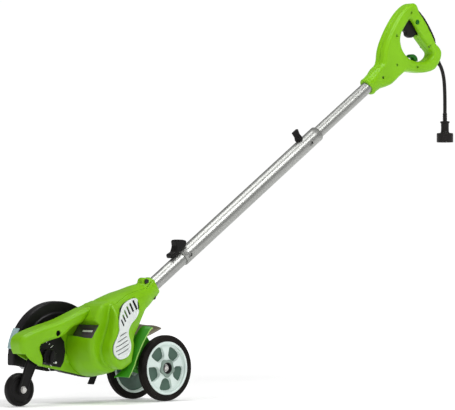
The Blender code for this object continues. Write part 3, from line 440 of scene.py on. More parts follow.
# ------------------------------------------------------------------ solids from distance fields
class Block:
    """A box of space sampled on a grid; fields are signed distances, negative inside."""

    def __init__(self, low, high, step):
        step = step * 1.0
        self.low, self.step = np.array(low, float), step
        count = [int(math.ceil((b - a) / step)) + 1 for a, b in zip(low, high)]
        lines = [(low[i] + step * np.arange(count[i])).astype(np.float32) for i in range(3)]
        self.x = lines[0][:, None, None]
        self.y = lines[1][None, :, None]
        self.z = lines[2][None, None, :]

    def polygon(self, loop):
        px, pz = self.x[:, 0, :], self.z[:, 0, :]
        best = np.full((px.shape[0], pz.shape[1]), 1e9, np.float32)
        inside = np.zeros(best.shape, bool)
        for (ax, az), (bx, bz) in zip(loop, loop[1:] + loop[:1]):
            ex, ez = bx - ax, bz - az
            wx, wz = px - ax, pz - az
            t = np.clip((wx * ex + wz * ez) / (ex * ex + ez * ez + 1e-18), 0, 1)
            best = np.minimum(best, (wx - ex * t) ** 2 + (wz - ez * t) ** 2)
            if bz != az:
                inside ^= ((az > pz) != (bz > pz)) & (px < ex * (pz - az) / ez + ax)
        dist = np.sqrt(best)
        return np.where(inside, -dist, dist)[:, None, :]

    def along(self):
        return (self.x - FOOT[0]) * DX + (self.z - FOOT[1]) * DZ

    def above(self):
        return (self.z - FOOT[1]) * DX - (self.x - FOOT[0]) * DZ

    def prism(self, flat, y_low, y_high, radius):
        """An outline given thickness along Y, with rounded edges."""
        wide = np.abs(self.y - (y_low + y_high) / 2) - (y_high - y_low) / 2
        return both(flat, wide, radius)

    def rod(self, start, end, radius, rounding=0.0):
        """A round rod between two points."""
        s, e = np.array(start), np.array(end)
        d = e - s
        size = float(np.linalg.norm(d))
        d = d / size
        t = (self.x - s[0]) * d[0] + (self.y - s[1]) * d[1] + (self.z - s[2]) * d[2]
        square = (self.x - s[0]) ** 2 + (self.y - s[1]) ** 2 + (self.z - s[2]) ** 2
        across = np.sqrt(np.maximum(square - t * t, 0)) - radius
        return both(across, np.abs(t - size / 2) - size / 2, rounding)

    def half(self, point, normal):
        """The half space behind a plane."""
        n = np.array(normal, float)
        n = n / np.linalg.norm(n)
        return (self.x - point[0]) * n[0] + (self.y - point[1]) * n[1] + (self.z - point[2]) * n[2]

    def solid(self, name, field, key):
        """The surface of a field as a smooth mesh: surface nets, then three steps onto the true surface."""
        f = np.ascontiguousarray(np.broadcast_to(field, (self.x.shape[0], self.y.shape[1], self.z.shape[2])))
        f = f.astype(np.float32)
        edge = np.float32(self.step)
        f[0], f[-1], f[:, 0], f[:, -1], f[:, :, 0], f[:, :, -1] = (edge,) * 6
        s = f < 0
        count = np.zeros(tuple(n - 1 for n in f.shape), np.int8)
        nx, ny, nz = count.shape
        corners = [(i, j, k) for i in (0, 1) for j in (0, 1) for k in (0, 1)]
        for i, j, k in corners:
            count += s[i:i + nx, j:j + ny, k:k + nz]
        active = (count > 0) & (count < 8)
        index = np.full(count.shape, -1, np.int32)
        cells = np.argwhere(active)
        index[active] = np.arange(len(cells), dtype=np.int32)
        total = np.zeros((len(cells), 3))
        hits = np.zeros(len(cells))
        for corner in corners:
            for axis in range(3):
                if corner[axis]:
                    continue
                a = cells + corner
                b = a.copy()
                b[:, axis] += 1
                fa, fb = f[tuple(a.T)], f[tuple(b.T)]
                cross = (fa < 0) != (fb < 0)
                point = np.array(corner, float)[None].repeat(int(cross.sum()), 0)
                point[:, axis] += fa[cross] / (fa[cross] - fb[cross])
                total[cross] += point
                hits[cross] += 1
        where = cells + total / hits[:, None]
        quads = []
        for axis in range(3):
            u, v = [a for a in range(3) if a != axis]
            first = [slice(None)] * 3
            second = [slice(None)] * 3
            first[axis], second[axis] = slice(0, -1), slice(1, None)
            sa, sb = s[tuple(first)], s[tuple(second)]
            edges = np.argwhere(sa != sb)
            edges = edges[(edges[:, u] > 0) & (edges[:, v] > 0)]
            outward = sa[tuple(edges.T)]
            ring = []
            for du, dv in ((1, 1), (0, 1), (0, 0), (1, 0)):
                cell = edges.copy()
                cell[:, u] -= du
                cell[:, v] -= dv
                ring.append(index[tuple(cell.T)])
            ring = np.stack(ring, 1)
            flip = outward if axis != 1 else ~outward
            ring[~flip] = ring[~flip][:, ::-1]
            quads.append(ring)
        quads = np.concatenate(quads)
        limit = np.array(f.shape) - 1.001

        def sample(p):
            p = np.clip(p, 0, limit)
            base = p.astype(int)
            r = (p - base).astype(np.float32)
            value = 0.0
            for i, j, k in corners:
                weight = (r[:, 0] if i else 1 - r[:, 0]) * (r[:, 1] if j else 1 - r[:, 1])
                weight = weight * (r[:, 2] if k else 1 - r[:, 2])
                value = value + weight * f[base[:, 0] + i, base[:, 1] + j, base[:, 2] + k]
            return value

        for _ in range(3):
            value = sample(where)
            slope = np.stack([sample(where + h) - sample(where - h) for h in np.eye(3) * 0.5], 1)
            size = np.maximum((slope ** 2).sum(1), 1e-14)
            step = -(value / size)[:, None] * slope
            length = np.linalg.norm(step, axis=1)
            step *= np.minimum(1.0, 0.5 / np.maximum(length, 1e-9))[:, None]
            where = where + step
        points = self.low + where * self.step
        points[:, 0] += AX
        return dress(from_arrays(name, points, quads), key)


def from_arrays(name, points, quads):
    mesh = bpy.data.meshes.new(name)
    mesh.vertices.add(len(points))
    mesh.vertices.foreach_set("co", points.astype(np.float32).ravel())
    mesh.loops.add(quads.size)
    mesh.loops.foreach_set("vertex_index", quads.astype(np.int32).ravel())
    mesh.polygons.add(len(quads))
    mesh.polygons.foreach_set("loop_start", np.arange(0, quads.size, 4, dtype=np.int32))
    mesh.polygons.foreach_set("loop_total", np.full(len(quads), 4, np.int32))
    mesh.update(calc_edges=True)
    mesh.validate()
    mesh.shade_smooth()
    return link(bpy.data.objects.new(name, mesh))


def both(a, b, radius=0.0):
    """Where both fields are inside, with a rounded edge."""
    if radius <= 0.0:
        return np.maximum(a, b)
    u, v = a + radius, b + radius
    return np.minimum(np.maximum(u, v), 0) + np.sqrt(np.maximum(u, 0) ** 2 + np.maximum(v, 0) ** 2) - radius


def either(a, b, radius=0.0):
    """Where either field is inside, with a fillet."""
    if radius <= 0.0:
        return np.minimum(a, b)
    h = np.clip(0.5 + 0.5 * (b - a) / radius, 0, 1)
    return b * (1 - h) + a * h - radius * h * (1 - h)


def without(a, b, radius=0.0):
    """The first field with the second taken away, with a soft edge."""
    return -either(-a, b, radius)


# ------------------------------------------------------------------ outlines
NECK_REAR = [(0.0110, 0.2070), (-0.0300, 0.1830), (-0.0370, 0.1660), (-0.0500, 0.1500)]
NECK_FRONT = [(-0.1720, 0.1560), (-0.1530, 0.1890)]
NECK_TOP = [(-0.1250, 0.1985), (-0.0870, 0.2130), (-0.0620, 0.2195), (-0.0400, 0.2320),
            (-0.0200, 0.2390), (-0.0040, 0.2405)]
ARM_TOP = [(-0.1600, 0.1860), (-0.2250, 0.1630), (-0.2740, 0.1500), (-0.3060, 0.1400)]
ARM_NOSE = [(-0.3200, 0.1320), (-0.3250, 0.1220), (-0.3200, 0.1080), (-0.3000, 0.0930)]
ARM_BOTTOM = [(-0.2620, 0.0760), (-0.2420, 0.0720), (-0.1850, 0.0605)]
ARM_LOOP = [(-0.1553, 0.1882), (-0.2250, 0.1640), (-0.2740, 0.1515), (-0.3080, 0.1410), (-0.3230, 0.1330),
            (-0.3280, 0.1200), (-0.3230, 0.1030), (-0.3110, 0.0885), (-0.2930, 0.0775), (-0.2750, 0.0735),
            (-0.2720, 0.0920), (-0.2790, 0.1120), (-0.2620, 0.1220), (-0.2250, 0.1315),
            (-0.1990, 0.1480), (-0.1730, 0.1590)]
# These points are the output of a scratch program that projected places in the photograph onto the cover,
# nudged by hand. They should be arcs and straight sides: report.md names this under "Rule not met".
VENT_LOOP = through([(-0.0660, 0.2035), (-0.0570, 0.1938), (-0.0580, 0.1801), (-0.0735, 0.1650),
                     (-0.0935, 0.1540), (-0.1045, 0.1427), (-0.1060, 0.1311), (-0.1023, 0.1194),
                     (-0.1025, 0.1078), (-0.1105, 0.0950), (-0.1245, 0.0880), (-0.1371, 0.0870),
                     (-0.1480, 0.0950), (-0.1512, 0.1075), (-0.1470, 0.1208), (-0.1378, 0.1335),
                     (-0.1325, 0.1434), (-0.1320, 0.1551), (-0.1290, 0.1665), (-0.1240, 0.1780),
                     (-0.1130, 0.1900), (-0.0921, 0.1995)], 3, True)
HANDLE_OUTER = through([(0.6035, 0.6590), (0.6320, 0.6815), (0.6510, 0.6960), (0.6560, 0.7230),
                        (0.6660, 0.7480),
                        (0.6850, 0.7790), (0.7070, 0.8060), (0.7290, 0.8240), (0.7470, 0.8310),
                        (0.7570, 0.8260),
                        (0.7640, 0.8120), (0.7760, 0.8000), (0.7900, 0.7840), (0.8040, 0.7650),
                        (0.8150, 0.7480),
                        (0.8260, 0.7400), (0.8340, 0.7290), (0.8320, 0.7140), (0.8220, 0.6990),
                        (0.8090, 0.6880),
                        (0.7760, 0.6810), (0.7280, 0.6820), (0.7090, 0.6740), (0.6840, 0.6560),
                        (0.6570, 0.6390),
                        (0.6400, 0.6300), (0.6270, 0.6275)], 3, True)
HANDLE_OPENING = through([(0.7350, 0.7950), (0.7270, 0.7880), (0.7150, 0.7730), (0.7070, 0.7610),
                          (0.7050, 0.7450),
                          (0.7120, 0.7270), (0.7280, 0.7130), (0.7480, 0.7060), (0.7810, 0.7060),
                          (0.7990, 0.7140),
                          (0.8060, 0.7250), (0.7960, 0.7350), (0.7720, 0.7570), (0.7560, 0.7750),
                          (0.7430, 0.7900)],
                         3, True)


def cover_loop():
    rear = [NECK_REAR[0], NECK_REAR[1], (-0.0440, 0.1680), (-0.0640, 0.1480)]
    front = [(-0.1400, 0.1530), (-0.1330, 0.1780)]
    top = [(-0.1230, 0.1990), (-0.1080, 0.2070)] + NECK_TOP[2:]
    return through(rear + arc(BULB, 0.0375, 32.0, -205.0, 14) + front + top, 3, True)


def case_loop():
    big, small = 0.064, 0.029
    a, b = Vector(MOTOR), Vector(SPINDLE)
    base = math.degrees(math.atan2(b.y - a.y, b.x - a.x))
    spread = math.degrees(math.acos((big - small) / (b - a).length))
    return (arc(MOTOR, big, base + spread, base + 360 - spread, 60)
            + arc(SPINDLE, small, base - spread, base + spread, 24))


def seam(b):
    """The Y of the line where the cover meets the housing."""
    return -np.interp(b.along(), [-0.160, -0.095, -0.010], [0.043, 0.030, 0.014])


def face(b):
    return -np.interp(b.along(), [-0.185, -0.138, -0.082, -0.010], [0.072, 0.061, 0.0385, 0.0200])


def round_y(b, centre):
    """Distance from an axis along Y."""
    return np.sqrt((b.x - centre[0]) ** 2 + (b.z - centre[1]) ** 2)


def turned(b, centre, angle):
    """Coordinates along and across a direction in XZ, from a centre."""
    c, s = math.cos(angle), math.sin(angle)
    return (b.x - centre[0]) * c + (b.z - centre[1]) * s, -(b.x - centre[0]) * s + (b.z - centre[1]) * c


def bore(b):
    """The hole in the neck for the lower tube."""
    return b.rod(shaft_point(-0.085), shaft_point(0.030), BORE_R)


def sleeve(b):
    """The round outside of the socket."""
    return b.rod(shaft_point(-0.075), shaft_point(-0.0015), SOCKET_R, 0.002)


def slim(b):
    """The round envelope that the neck narrows to on its way to the socket."""
    radius = np.interp(b.along(), [-0.170, -0.1267, -0.0872, -0.0638, -0.030, 0.0],
                       [0.0850, 0.0575, 0.0475, 0.0385, 0.0240, 0.0198])
    return np.sqrt(b.above() ** 2 + b.y ** 2) - radius


def socket(b, field):
    """The round socket that takes the shaft, with its two screw bosses."""
    field = both(field, slim(b), 0.004)
    field = either(field, sleeve(b), 0.006)
    field = either(field, b.rod((-0.0180, -0.0125, 0.2345), (-0.0180, 0.0050, 0.2345), 0.0085, 0.002), 0.003)
    return either(field, b.rod((0.0000, -0.0150, 0.2045), (0.0000, 0.0060, 0.2045), 0.0066, 0.002), 0.003)


# ------------------------------------------------------------------ head
NORMAL = (math.cos(math.radians(143.5)), math.sin(math.radians(143.5)))


def window(b):
    """The sunk panel in the upper front of the drum."""
    d = (b.x - MOTOR[0]) * NORMAL[0] + (b.z - MOTOR[1]) * NORMAL[1]
    s = (b.x - MOTOR[0]) * NORMAL[1] - (b.z - MOTOR[1]) * NORMAL[0]
    hole = both(np.abs(s + 0.0004) - 0.0168, np.abs(b.y + 0.0070) - 0.0345, 0.004)
    return both(hole, 0.0480 - d)


def make_housing():
    b = Block((-0.198, -0.047, 0.046), (0.018, 0.0250, 0.252), 0.0013)
    share = np.clip((SPLIT_Y - b.y) / (SPLIT_Y - seam(b)), 0, 1)
    radius = np.interp(share, [0.0, 0.06, 0.45, 0.80, 1.0], [0.062, 0.062, 0.0580, 0.0525, 0.0470])
    drum = round_y(b, MOTOR) - radius
    neck = b.polygon(through(NECK_REAR + [(-0.0780, 0.1250), (-0.1600,
                                                              0.1200)] + NECK_FRONT + NECK_TOP, 3, True))
    outer = socket(b, either(drum, neck, 0.012))
    inner = both(b.polygon(cover_loop()) - 0.0015, slim(b), 0.004)
    inner = either(inner, sleeve(b), 0.006)
    end = seam(b) + 0.0035
    body = either(both(outer, end - b.y, 0.006), both(inner, seam(b) - b.y), 0.003)
    hollow = np.minimum(both(outer + 0.0036, end + 0.004 - b.y), inner + 0.0038)
    hole = window(b)
    hollow = np.maximum(hollow, -(hole - 0.003))
    body = without(body, hole, 0.0015)
    body = np.maximum(body, -hollow)
    body = without(body, bore(b), 0.001)
    body = np.maximum(body, b.y - SPLIT_Y)
    show(b.solid("drum_housing", body, "green"), "chassis", "housing_green", "motor_housing")


def make_cover():
    b = Block((-0.160, -0.0745, 0.062), (0.018, -0.0115, 0.252), 0.0012)
    outer = socket(b, b.polygon(cover_loop()) - 0.0015)
    lid = (face(b) - b.y) * 0.92
    body = both(outer, lid, 0.0095)
    body = np.maximum(body, b.y - (seam(b) - 0.0003))
    hollow = both(outer + 0.0036, lid + 0.0030, 0.007)
    body = np.maximum(body, -hollow)
    hole = b.polygon(VENT_LOOP) - 0.0003
    body = without(body, np.maximum(hole, -0.0050 - (face(b) - b.y)), 0.0008)
    body = without(body, bore(b), 0.001)
    show(b.solid("side_cover", body, "green"), "chassis", "housing_green", "left_cover")


def make_vent():
    b = Block((-0.160, -0.0745, 0.080), (-0.061, -0.030, 0.208), 0.0008)
    flat = b.polygon(VENT_LOOP)
    lift = face(b) - b.y
    body = both(flat, np.abs(lift - 0.0002) - 0.0017, 0.0010)
    well = both(flat + 0.0035, 0.0006 - lift)
    body = without(body, well, 0.0005)
    slots = []
    # Midpoints of the same program's output, nudged by hand.
    middles = [(-0.0705, 0.1905), (-0.0836, 0.1857), (-0.0960, 0.1800), (-0.1065, 0.1733), (-0.1145, 0.1655),
               (-0.1205, 0.1570)]
    for k, centre in enumerate(middles):
        t = k / 5.0
        u, v = turned(b, centre, math.radians(-62.0))
        slots.append(both(np.abs(u) - (0.0104 - 0.0032 * t), np.abs(v) - (0.0036 - 0.0014 * t), 0.0016))
    lines = []
    for k in range(6):
        v = turned(b, (-0.1270, 0.1330 - 0.0082 * k), math.radians(20.5))[1]
        lines.append(both(np.abs(v) - 0.0009, flat + 0.0060))
    body = without(body, np.minimum.reduce(slots), 0.0004)
    body = without(body, np.minimum.reduce(lines), 0.0003)
    show(b.solid("vent_grille", body, "vent"), "chassis", "vent_silver", "vent_panel")
    c = Block((-0.160, -0.0745, 0.080), (-0.061, -0.026, 0.208), 0.0012)
    flat = c.polygon(VENT_LOOP)
    behind = c.y - face(c)
    # A black sheet behind the upper slots: painted shade inside the housing.
    dark = both(flat + 0.0020, np.abs(behind - 0.0075) - 0.0012)
    dark = np.maximum(dark, 0.1400 - c.z)
    show(c.solid("vent_backing", dark, "void"), "chassis", "black_plastic")
    # A grey sheet, a darker copy of the vent colour, behind the groove lines: painted shade in the grooves.
    pale = both(flat + 0.0020, np.abs(behind - 0.0042) - 0.0012)
    pale = np.maximum(pale, c.z - 0.1395)
    show(c.solid("vent_filter", pale, "groove"), "chassis", "hub_grey")


def make_label():
    turn = Matrix.Rotation(math.radians(-143.5 + 90.0), 4, "Y")
    for name, half, low, high, rise, key in (("label_panel", 0.0160, -0.0385, 0.0235, 0.0, "label"),
                                              ("label_streak", 0.0022, -0.0300, 0.0000, 0.0006, "mark")):
        b = Block((-0.020, low - 0.002, 0.0448), (0.020, high + 0.002, 0.0508), 0.0008 if rise else 0.0010)
        field = both(both(np.abs(b.x) - half, np.abs(b.y - (low + high) / 2) - (high - low) / 2, half * 0.2),
                     np.abs(b.z - 0.0475 - rise) - 0.0009, 0.0005)
        obj = b.solid(name, field, key)
        placed(obj, Matrix.Translation((MOTOR[0] + AX, 0.0, MOTOR[1])) @ turn)
        show(obj, "chassis", "black_plastic")


def make_arm():
    b = Block((-0.3300, -0.0140, 0.0700), (-0.1500, 0.0250, 0.1910), 0.0011)
    flat = b.polygon(through(ARM_LOOP, 4, True))
    body = both(flat, -0.0120 - b.y, 0.010)
    body = np.maximum(body, b.y - SPLIT_Y)
    hollow = both(flat + 0.0030, -0.0090 - b.y, 0.0070)
    body = np.maximum(body, -hollow)
    inside = both(np.abs(b.x + 0.2700) - 0.0300, np.abs(b.z - 0.0790) - 0.0400)
    front = both(np.abs(b.x + 0.3150) - 0.0300, np.abs(b.z - 0.0700) - 0.0300)
    body = without(body, np.maximum(np.minimum(inside, front), -0.0086 - b.y), 0.0008)
    body = without(body, b.rod((-0.2380, -0.0200, 0.1380), (-0.2380, 0.0005, 0.1380), 0.0055), 0.0012)
    show(b.solid("arm_shell", body, "green"), "chassis", "housing_green", "arm_cover")
    # A black cup lining the screw hole: painted shade in the hole.
    cup = soft([(0.0, 0.0), (0.0062, 0.0), (0.0062, 0.0075), (0.0052, 0.0075), (0.0052, 0.0012),
                (0.0, 0.0012)],
               0.0002)
    show(lathe("arm_screw_well", cup, W(-0.2380, -0.0010, 0.1380), (0, -1, 0), "void", 40), "chassis",
         "black_plastic")


def make_plate():
    loop = through(NECK_REAR + arc(MOTOR, 0.062, 22.0, -100.0, 20) + ARM_BOTTOM[::-1] + ARM_NOSE[::-1]
                   + ARM_TOP[::-1] + NECK_TOP, 3, True)
    b = Block((-0.3290, 0.0210, 0.0470), (0.0150, 0.0295, 0.2450), 0.0011)
    field = b.prism(b.polygon(loop), 0.0240, 0.0280, 0.0012)
    holes = [(MOTOR, 0.0113), (SPINDLE, 0.0063), (IDLER, 0.0043), (PIVOT, 0.0043)]
    for k in range(6):
        a = math.radians(30 + 60 * k)
        if k != 3:
            holes.append(((MOTOR[0] + 0.030 * math.cos(a), MOTOR[1] + 0.030 * math.sin(a)), 0.006))
    for place, radius in holes:
        field = np.maximum(field, radius - round_y(b, place))
    field = either(field, b.rod((SPINDLE[0], 0.0222, SPINDLE[1]), (SPINDLE[0], 0.0238, SPINDLE[1]),
                                0.0085, 0.0008))
    rim = both(np.abs(b.polygon(loop) + 0.0030) - 0.0016, np.abs(b.y - 0.0285) - 0.0014, 0.0008)
    rim = np.maximum(rim, -(b.polygon(case_loop()) - 0.0030))
    field = either(field, rim, 0.0008)
    field = np.maximum(field, slim(b))
    show(b.solid("side_frame", field, "green"), "chassis", "housing_green", "frame_plate")


def idler_place():
    m, s = Vector(MOTOR), Vector(SPINDLE)
    reach = (m - s).length
    near_spindle, near_motor = 0.00125 * 32, 0.00125 * 19
    share = (near_spindle ** 2 - near_motor ** 2 + reach ** 2) / (2 * reach)
    u = (m - s).normalized()
    place = s + u * share + Vector((-u.y, u.x)) * math.sqrt(near_spindle ** 2 - share ** 2)
    return (place.x, place.y)


IDLER = idler_place()


def make_case():
    b = Block((-0.2180, 0.0270, 0.0460), (-0.0640, 0.0475, 0.1780), 0.0011)
    flat = b.polygon(case_loop())
    body = np.maximum(both(flat, b.y - 0.0460, 0.0035), 0.0283 - b.y)
    hollow = np.maximum(flat + 0.0028, b.y - 0.0432)
    body = np.maximum(body, -hollow)
    body = np.maximum(body, 0.0113 - round_y(b, SPINDLE))
    angle = np.degrees(np.arctan2(b.z - MOTOR[1], b.x - MOTOR[0]))
    fins = both(np.abs((angle + 88.0 + 2.5) % 7.0 - 3.5) * 0.0011 - 0.0013,
                np.abs(angle + 90.0) * 0.001 - 0.033)
    fins = np.maximum(fins, 0.0618 - round_y(b, MOTOR))
    body = without(body, np.maximum(fins, np.abs(b.y - 0.0372) - 0.0070), 0.0004)
    rib = both(np.abs(round_y(b, MOTOR) - 0.0440) - 0.0012, np.abs(b.y - 0.0462) - 0.0010, 0.0006)
    body = either(body, rib, 0.0008)
    show(b.solid("gearbox", body, "guard"), "chassis", "black_plastic", "gear_case")


def make_guard():
    b = Block((-0.2990, 0.0490, 0.0600), (-0.0750, 0.0735, 0.2000), 0.0012)
    r = round_y(b, SPINDLE)
    front = np.interp(r, [0.0, 0.0590, 0.0610, 0.0865, 0.0895, 0.2], [0.0510, 0.0510,
                                                                      0.0503, 0.0503, 0.0525, 0.0525])
    body = both(r - 0.1100, front - b.y, 0.0035)
    body = np.maximum(body, b.y - 0.0720)
    low = (b.z - SPINDLE[1]) - np.interp(b.x, [SPINDLE[0] - 0.1100, SPINDLE[0] - 0.0300, SPINDLE[0] + 0.0300,
                                              SPINDLE[0] + 0.1100], [-0.0120, -0.0260, -0.0260, -0.0120])
    body = np.maximum(body, -low * 0.95)
    hollow = np.maximum(r - 0.1074, front + 0.0026 - b.y)
    body = np.maximum(body, -hollow)
    lip = both(np.abs(r - 0.1088) - 0.0012, np.abs(b.y - 0.0700) - 0.0014, 0.0006)
    lip = np.maximum(lip, -low * 0.95)
    body = either(body, lip, 0.0006)
    body = np.maximum(body, 0.0185 - r)
    show(b.solid("guard_shell", body, "guard"), "chassis", "guard_black", "blade_guard")


def make_flaps():
    b = Block((-0.3060, 0.0515, 0.0960), (-0.2750, 0.0735, 0.1520), 0.0008)
    r = round_y(b, SPINDLE)
    a = np.degrees(np.arctan2(b.z - SPINDLE[1], b.x - SPINDLE[0]))
    part = np.abs(a - 159.0) * 0.0019 - 0.0205
    sheet = both(both(np.abs(r - 0.1118) - 0.0013, part, 0.001), np.abs(b.y - 0.0626) - 0.0094, 0.0010)
    for k in range(3):
        rib = both(both(np.abs(r - 0.1128) - 0.0014, part + 0.002, 0.001),
                   np.abs(b.y - 0.0565 - 0.006 * k) - 0.0009,
                   0.0006)
        sheet = either(sheet, rib, 0.0006)
    show(b.solid("front_guard_flap", sheet, "teal"), "chassis", "flap_teal", "front_flap")
    b = Block((-0.1100, 0.0520, 0.0260), (-0.0760, 0.0735, 0.1110), 0.0009)
    r = round_y(b, SPINDLE)
    a = np.degrees(np.arctan2(b.z - SPINDLE[1], b.x - SPINDLE[0]))
    sheet = both(both(np.abs(r - 0.1053) - 0.0015, np.abs(a + 11.0) * 0.0018 - 0.0378, 0.001),
                 np.abs(b.y - 0.06265) - 0.00935, 0.0010)
    for k in range(4):
        groove = np.maximum(np.abs(a + 26.0 - 6.0 * k) * 0.0018 - 0.0006, 0.1060 - r)
        sheet = without(sheet, groove, 0.0003)
    show(b.solid("rear_debris_flap", sheet, "rubber"), "chassis", "soft_rubber", "debris_flap")


def make_scale():
    loop = [(-0.2640, 0.0800), (-0.2640, 0.1160), (-0.2400, 0.1240), (-0.2070, 0.1310), (-0.1970, 0.1200),
            (-0.1945, 0.1000), (-0.1990, 0.0800), (-0.2060, 0.0700), (-0.2400, 0.0760)]
    b = Block((-0.2660, 0.0205, 0.0680), (-0.1920, 0.0245, 0.1330), 0.0008)
    field = b.prism(b.polygon(loop), 0.0212, 0.0237, 0.0004)
    field = np.maximum(field, 0.0043 - round_y(b, PIVOT))
    show(b.solid("depth_scale", field, "black"), "chassis", "black_plastic", "scale_plate")
    ticks = []
    for k in range(9):
        a = math.radians(62.0 - 14.0 * k)
        c, s = math.cos(a), math.sin(a)
        inner, outer, w = 0.0295, 0.0335 if k % 2 else 0.0370, 0.0006
        loop = [(PIVOT[0] + reach * c - side * s, PIVOT[1] + reach * s + side * c)
                for reach, side in ((inner, w), (outer, w), (outer, -w), (inner, -w))]
        ticks.append(slab("tick_%d" % k, [loop], 0.0206, 0.0214, 0.0002, "mark"))
    dot = arc((-0.2185, 0.0800), 0.0022, 0, 345, 23)
    ticks.append(slab("tick_dot", [dot], 0.0204, 0.0214, 0.0003, "mark"))
    show(join("scale_marks", ticks), "chassis", "vent_silver")


def make_carrier():
    axle = (0.0, WHEEL_R)
    for node, clear, y_low in (("axle_bracket_left", 0.0535, -0.034), ("axle_bracket_right", 0.0655, 0.030)):
        loop = (arc(MOTOR, clear, -38.0, 20.0, 16) + [(-0.0560, 0.1330), (-0.0400, 0.1380), (-0.0200, 0.1100)]
                + arc(axle, 0.014, 70.0, -90.0, 16))
        b = Block((-0.1000, y_low - 0.001, 0.0490), (0.0160, y_low + 0.005, 0.1400), 0.0010)
        flat = b.polygon(loop)
        field = b.prism(flat, y_low, y_low + 0.004, 0.0010)
        field = without(field, both(flat + 0.0070, np.abs(b.y - y_low) - 0.0010), 0.0004)
        field = np.maximum(field, 0.0053 - round_y(b, axle))
        # The webs take the darker green: painted shade.
        show(b.solid(node + "_web", field, "fender"), "chassis", "dark_green", node)
    # Five of these seven points are numbers that a scratch program printed.
    outer = [(-0.0990, 0.0500), (-0.0860, 0.0700), (-0.0790, 0.0860), (-0.0720, 0.1000), (-0.0610, 0.1190),
             (-0.0450, 0.1400), (-0.0380, 0.1450)]
    inner = [(-0.1180, 0.0500), (-0.0990, 0.0630), (-0.0835, 0.0820), (-0.0795, 0.0970), (-0.0700, 0.1180),
             (-0.0540, 0.1410), (-0.0460, 0.1470)]
    # The fender wall takes the darker green: painted shade.
    wall = lofted("wheel_fender", outer, inner, -0.0560, -0.0345, 0.0022, 0.0025, "fender")
    show(wall, "chassis", "dark_green", "fender")
    # The bead along the fender's outer edge takes the lighter green: a painted highlight.
    lit_edge_bead = wire("fender_edge", [(x, -0.0556, z) for x, z in through(outer, 8)], 0.0014, 4)
    lip = dress(smooth(as_mesh(lit_edge_bead)), "fender_lip")
    show(lip, "chassis", "dark_green")
    near = [(-0.0590, 0.1210), (-0.0420, 0.1235), (-0.0180, 0.1310), (0.0000, 0.1380), (0.0100, 0.1425)]
    far = [(-0.0520, 0.1390), (-0.0360, 0.1490), (-0.0160, 0.1510), (0.0010, 0.1470), (0.0110, 0.1440)]
    flap = lofted("axle_flap", near, far, -0.0270, 0.0250, 0.0026, 0.0040, "flap")
    show(flap, "chassis", "soft_rubber", "rear_flap")


# ------------------------------------------------------------------ wheels
def make_wheels():
    b = Block((-0.0540, -0.0090, -0.0540), (0.0540, 0.0100, 0.0540), 0.0008)
    r = np.sqrt(b.x ** 2 + b.z ** 2)
    a = np.arctan2(b.z, b.x)
    fifth = 2 * math.pi / 5
    local = (a - math.radians(-90.0) + fifth / 2) % fifth - fifth / 2
    px, pz = r * np.sin(local), r * np.cos(local)
    dome = np.interp(r, [0.0, 0.014, 0.030, 0.046, 0.06], [0.0058, 0.0058, 0.0048, 0.0022, 0.0022])
    disc = both(r - 0.0500, np.maximum(b.y - dome, -0.0035 - b.y), 0.0008)
    rim = both(np.abs(r - 0.0502) - 0.0024, np.abs(b.y) - 0.0080, 0.0012)
    body = either(disc, rim, 0.0015)
    pocket = both(both(np.abs(px) - np.interp(pz, [0.018, 0.028, 0.040], [0.0090, 0.0128, 0.0162]),
                       np.maximum(r - 0.0448, 0.0195 - pz), 0.0060), -0.0005 - b.y)
    body = without(body, pocket, 0.0012)
    back = both(r - 0.0470, b.y + 0.0012)
    back = np.maximum(back, 0.0150 - r)
    body = without(body, back, 0.0010)
    # A dark disc across the hub's hollow back: painted shade.
    floor = both(r - 0.0472, np.abs(b.y + 0.0020) - 0.0012, 0.0004)
    floor = np.maximum(floor, 0.0140 - r)
    body = np.maximum(body, 0.0108 - r)
    lobes = r - (0.0172 + 0.0016 * np.cos(5 * (a + math.radians(90.0))))
    boss = both(both(lobes, np.abs(b.y - 0.0015) - 0.0078, 0.0012), 0.0112 - r, 0.0005)
    core = both(np.abs(r - 0.0083) - 0.0028, np.abs(b.y + 0.0032) - 0.0046, 0.0006)
    rings = (("spokes", body, "hub"), ("recess", floor, "recess_shade"), ("boss", np.minimum(boss, core), "boss"))
    cup = soft([(0.0108, 0.0088), (0.0096, 0.0088), (0.0090, 0.0020), (0.0087, 0.0014), (0.0108, 0.0014)],
               0.0003)
    tread = [(0.0529, 0.0072), (0.0560, 0.0080), (0.0585, 0.0078), (0.0600, 0.0074), (0.0606, 0.0079),
             (0.0618, 0.0077), (0.0636, 0.0066), (0.0646, 0.0050), (0.0650, 0.0034), (0.0650, 0.0020),
             (0.0643, 0.0014), (0.0643, 0.0008), (0.0650, 0.0003)]
    profile = tread + [(x, -y) for x, y in tread[::-1]]
    for side, sign in (("left", -1), ("right", 1)):
        place = W(0.0, sign * TRACK / 2, WHEEL_R)
        body_name, slot = "rear_wheel_" + side, "hub_grey"
        turn = Matrix.Translation(place) @ (Matrix.Rotation(math.pi, 4,
                                                            "Z") if sign < 0 else Matrix.Identity(4))
        pieces = []
        for name, field, key in rings:
            pieces.append(placed(b.solid("hub_%s_%s" % (name, side), field, key), turn))
        pieces.append(lathe("hub_cup_" + side, cup, place, (0, sign, 0), "void", 48, True))
        show(join("wheel_hub_" + side, pieces), body_name, slot, "rear_hub_" + side)
        tyre = lathe("wheel_tyre_" + side, profile, place, (0, sign, 0), "tyre", 160, True, 50)
        show(tyre, body_name, "tyre_rubber", "rear_tyre_" + side)
        bolt = hex_bolt("axle_bolt_" + side, W(0.0, sign * 0.0510, WHEEL_R), (0, sign, 0),
                        0.0058, 0.0040, 0.0078)
        show(bolt, "chassis", "plain_steel", "axle_cap_" + side)
    axle = lathe("axle_rod", soft([(0.0, 0.0), (0.005, 0.0), (0.005, 0.1014), (0.0, 0.1014)], 0.0006),
                 W(0.0, -0.0507, WHEEL_R), (0, 1, 0), "steel", 48)
    show(axle, "chassis", "plain_steel", "rear_axle")


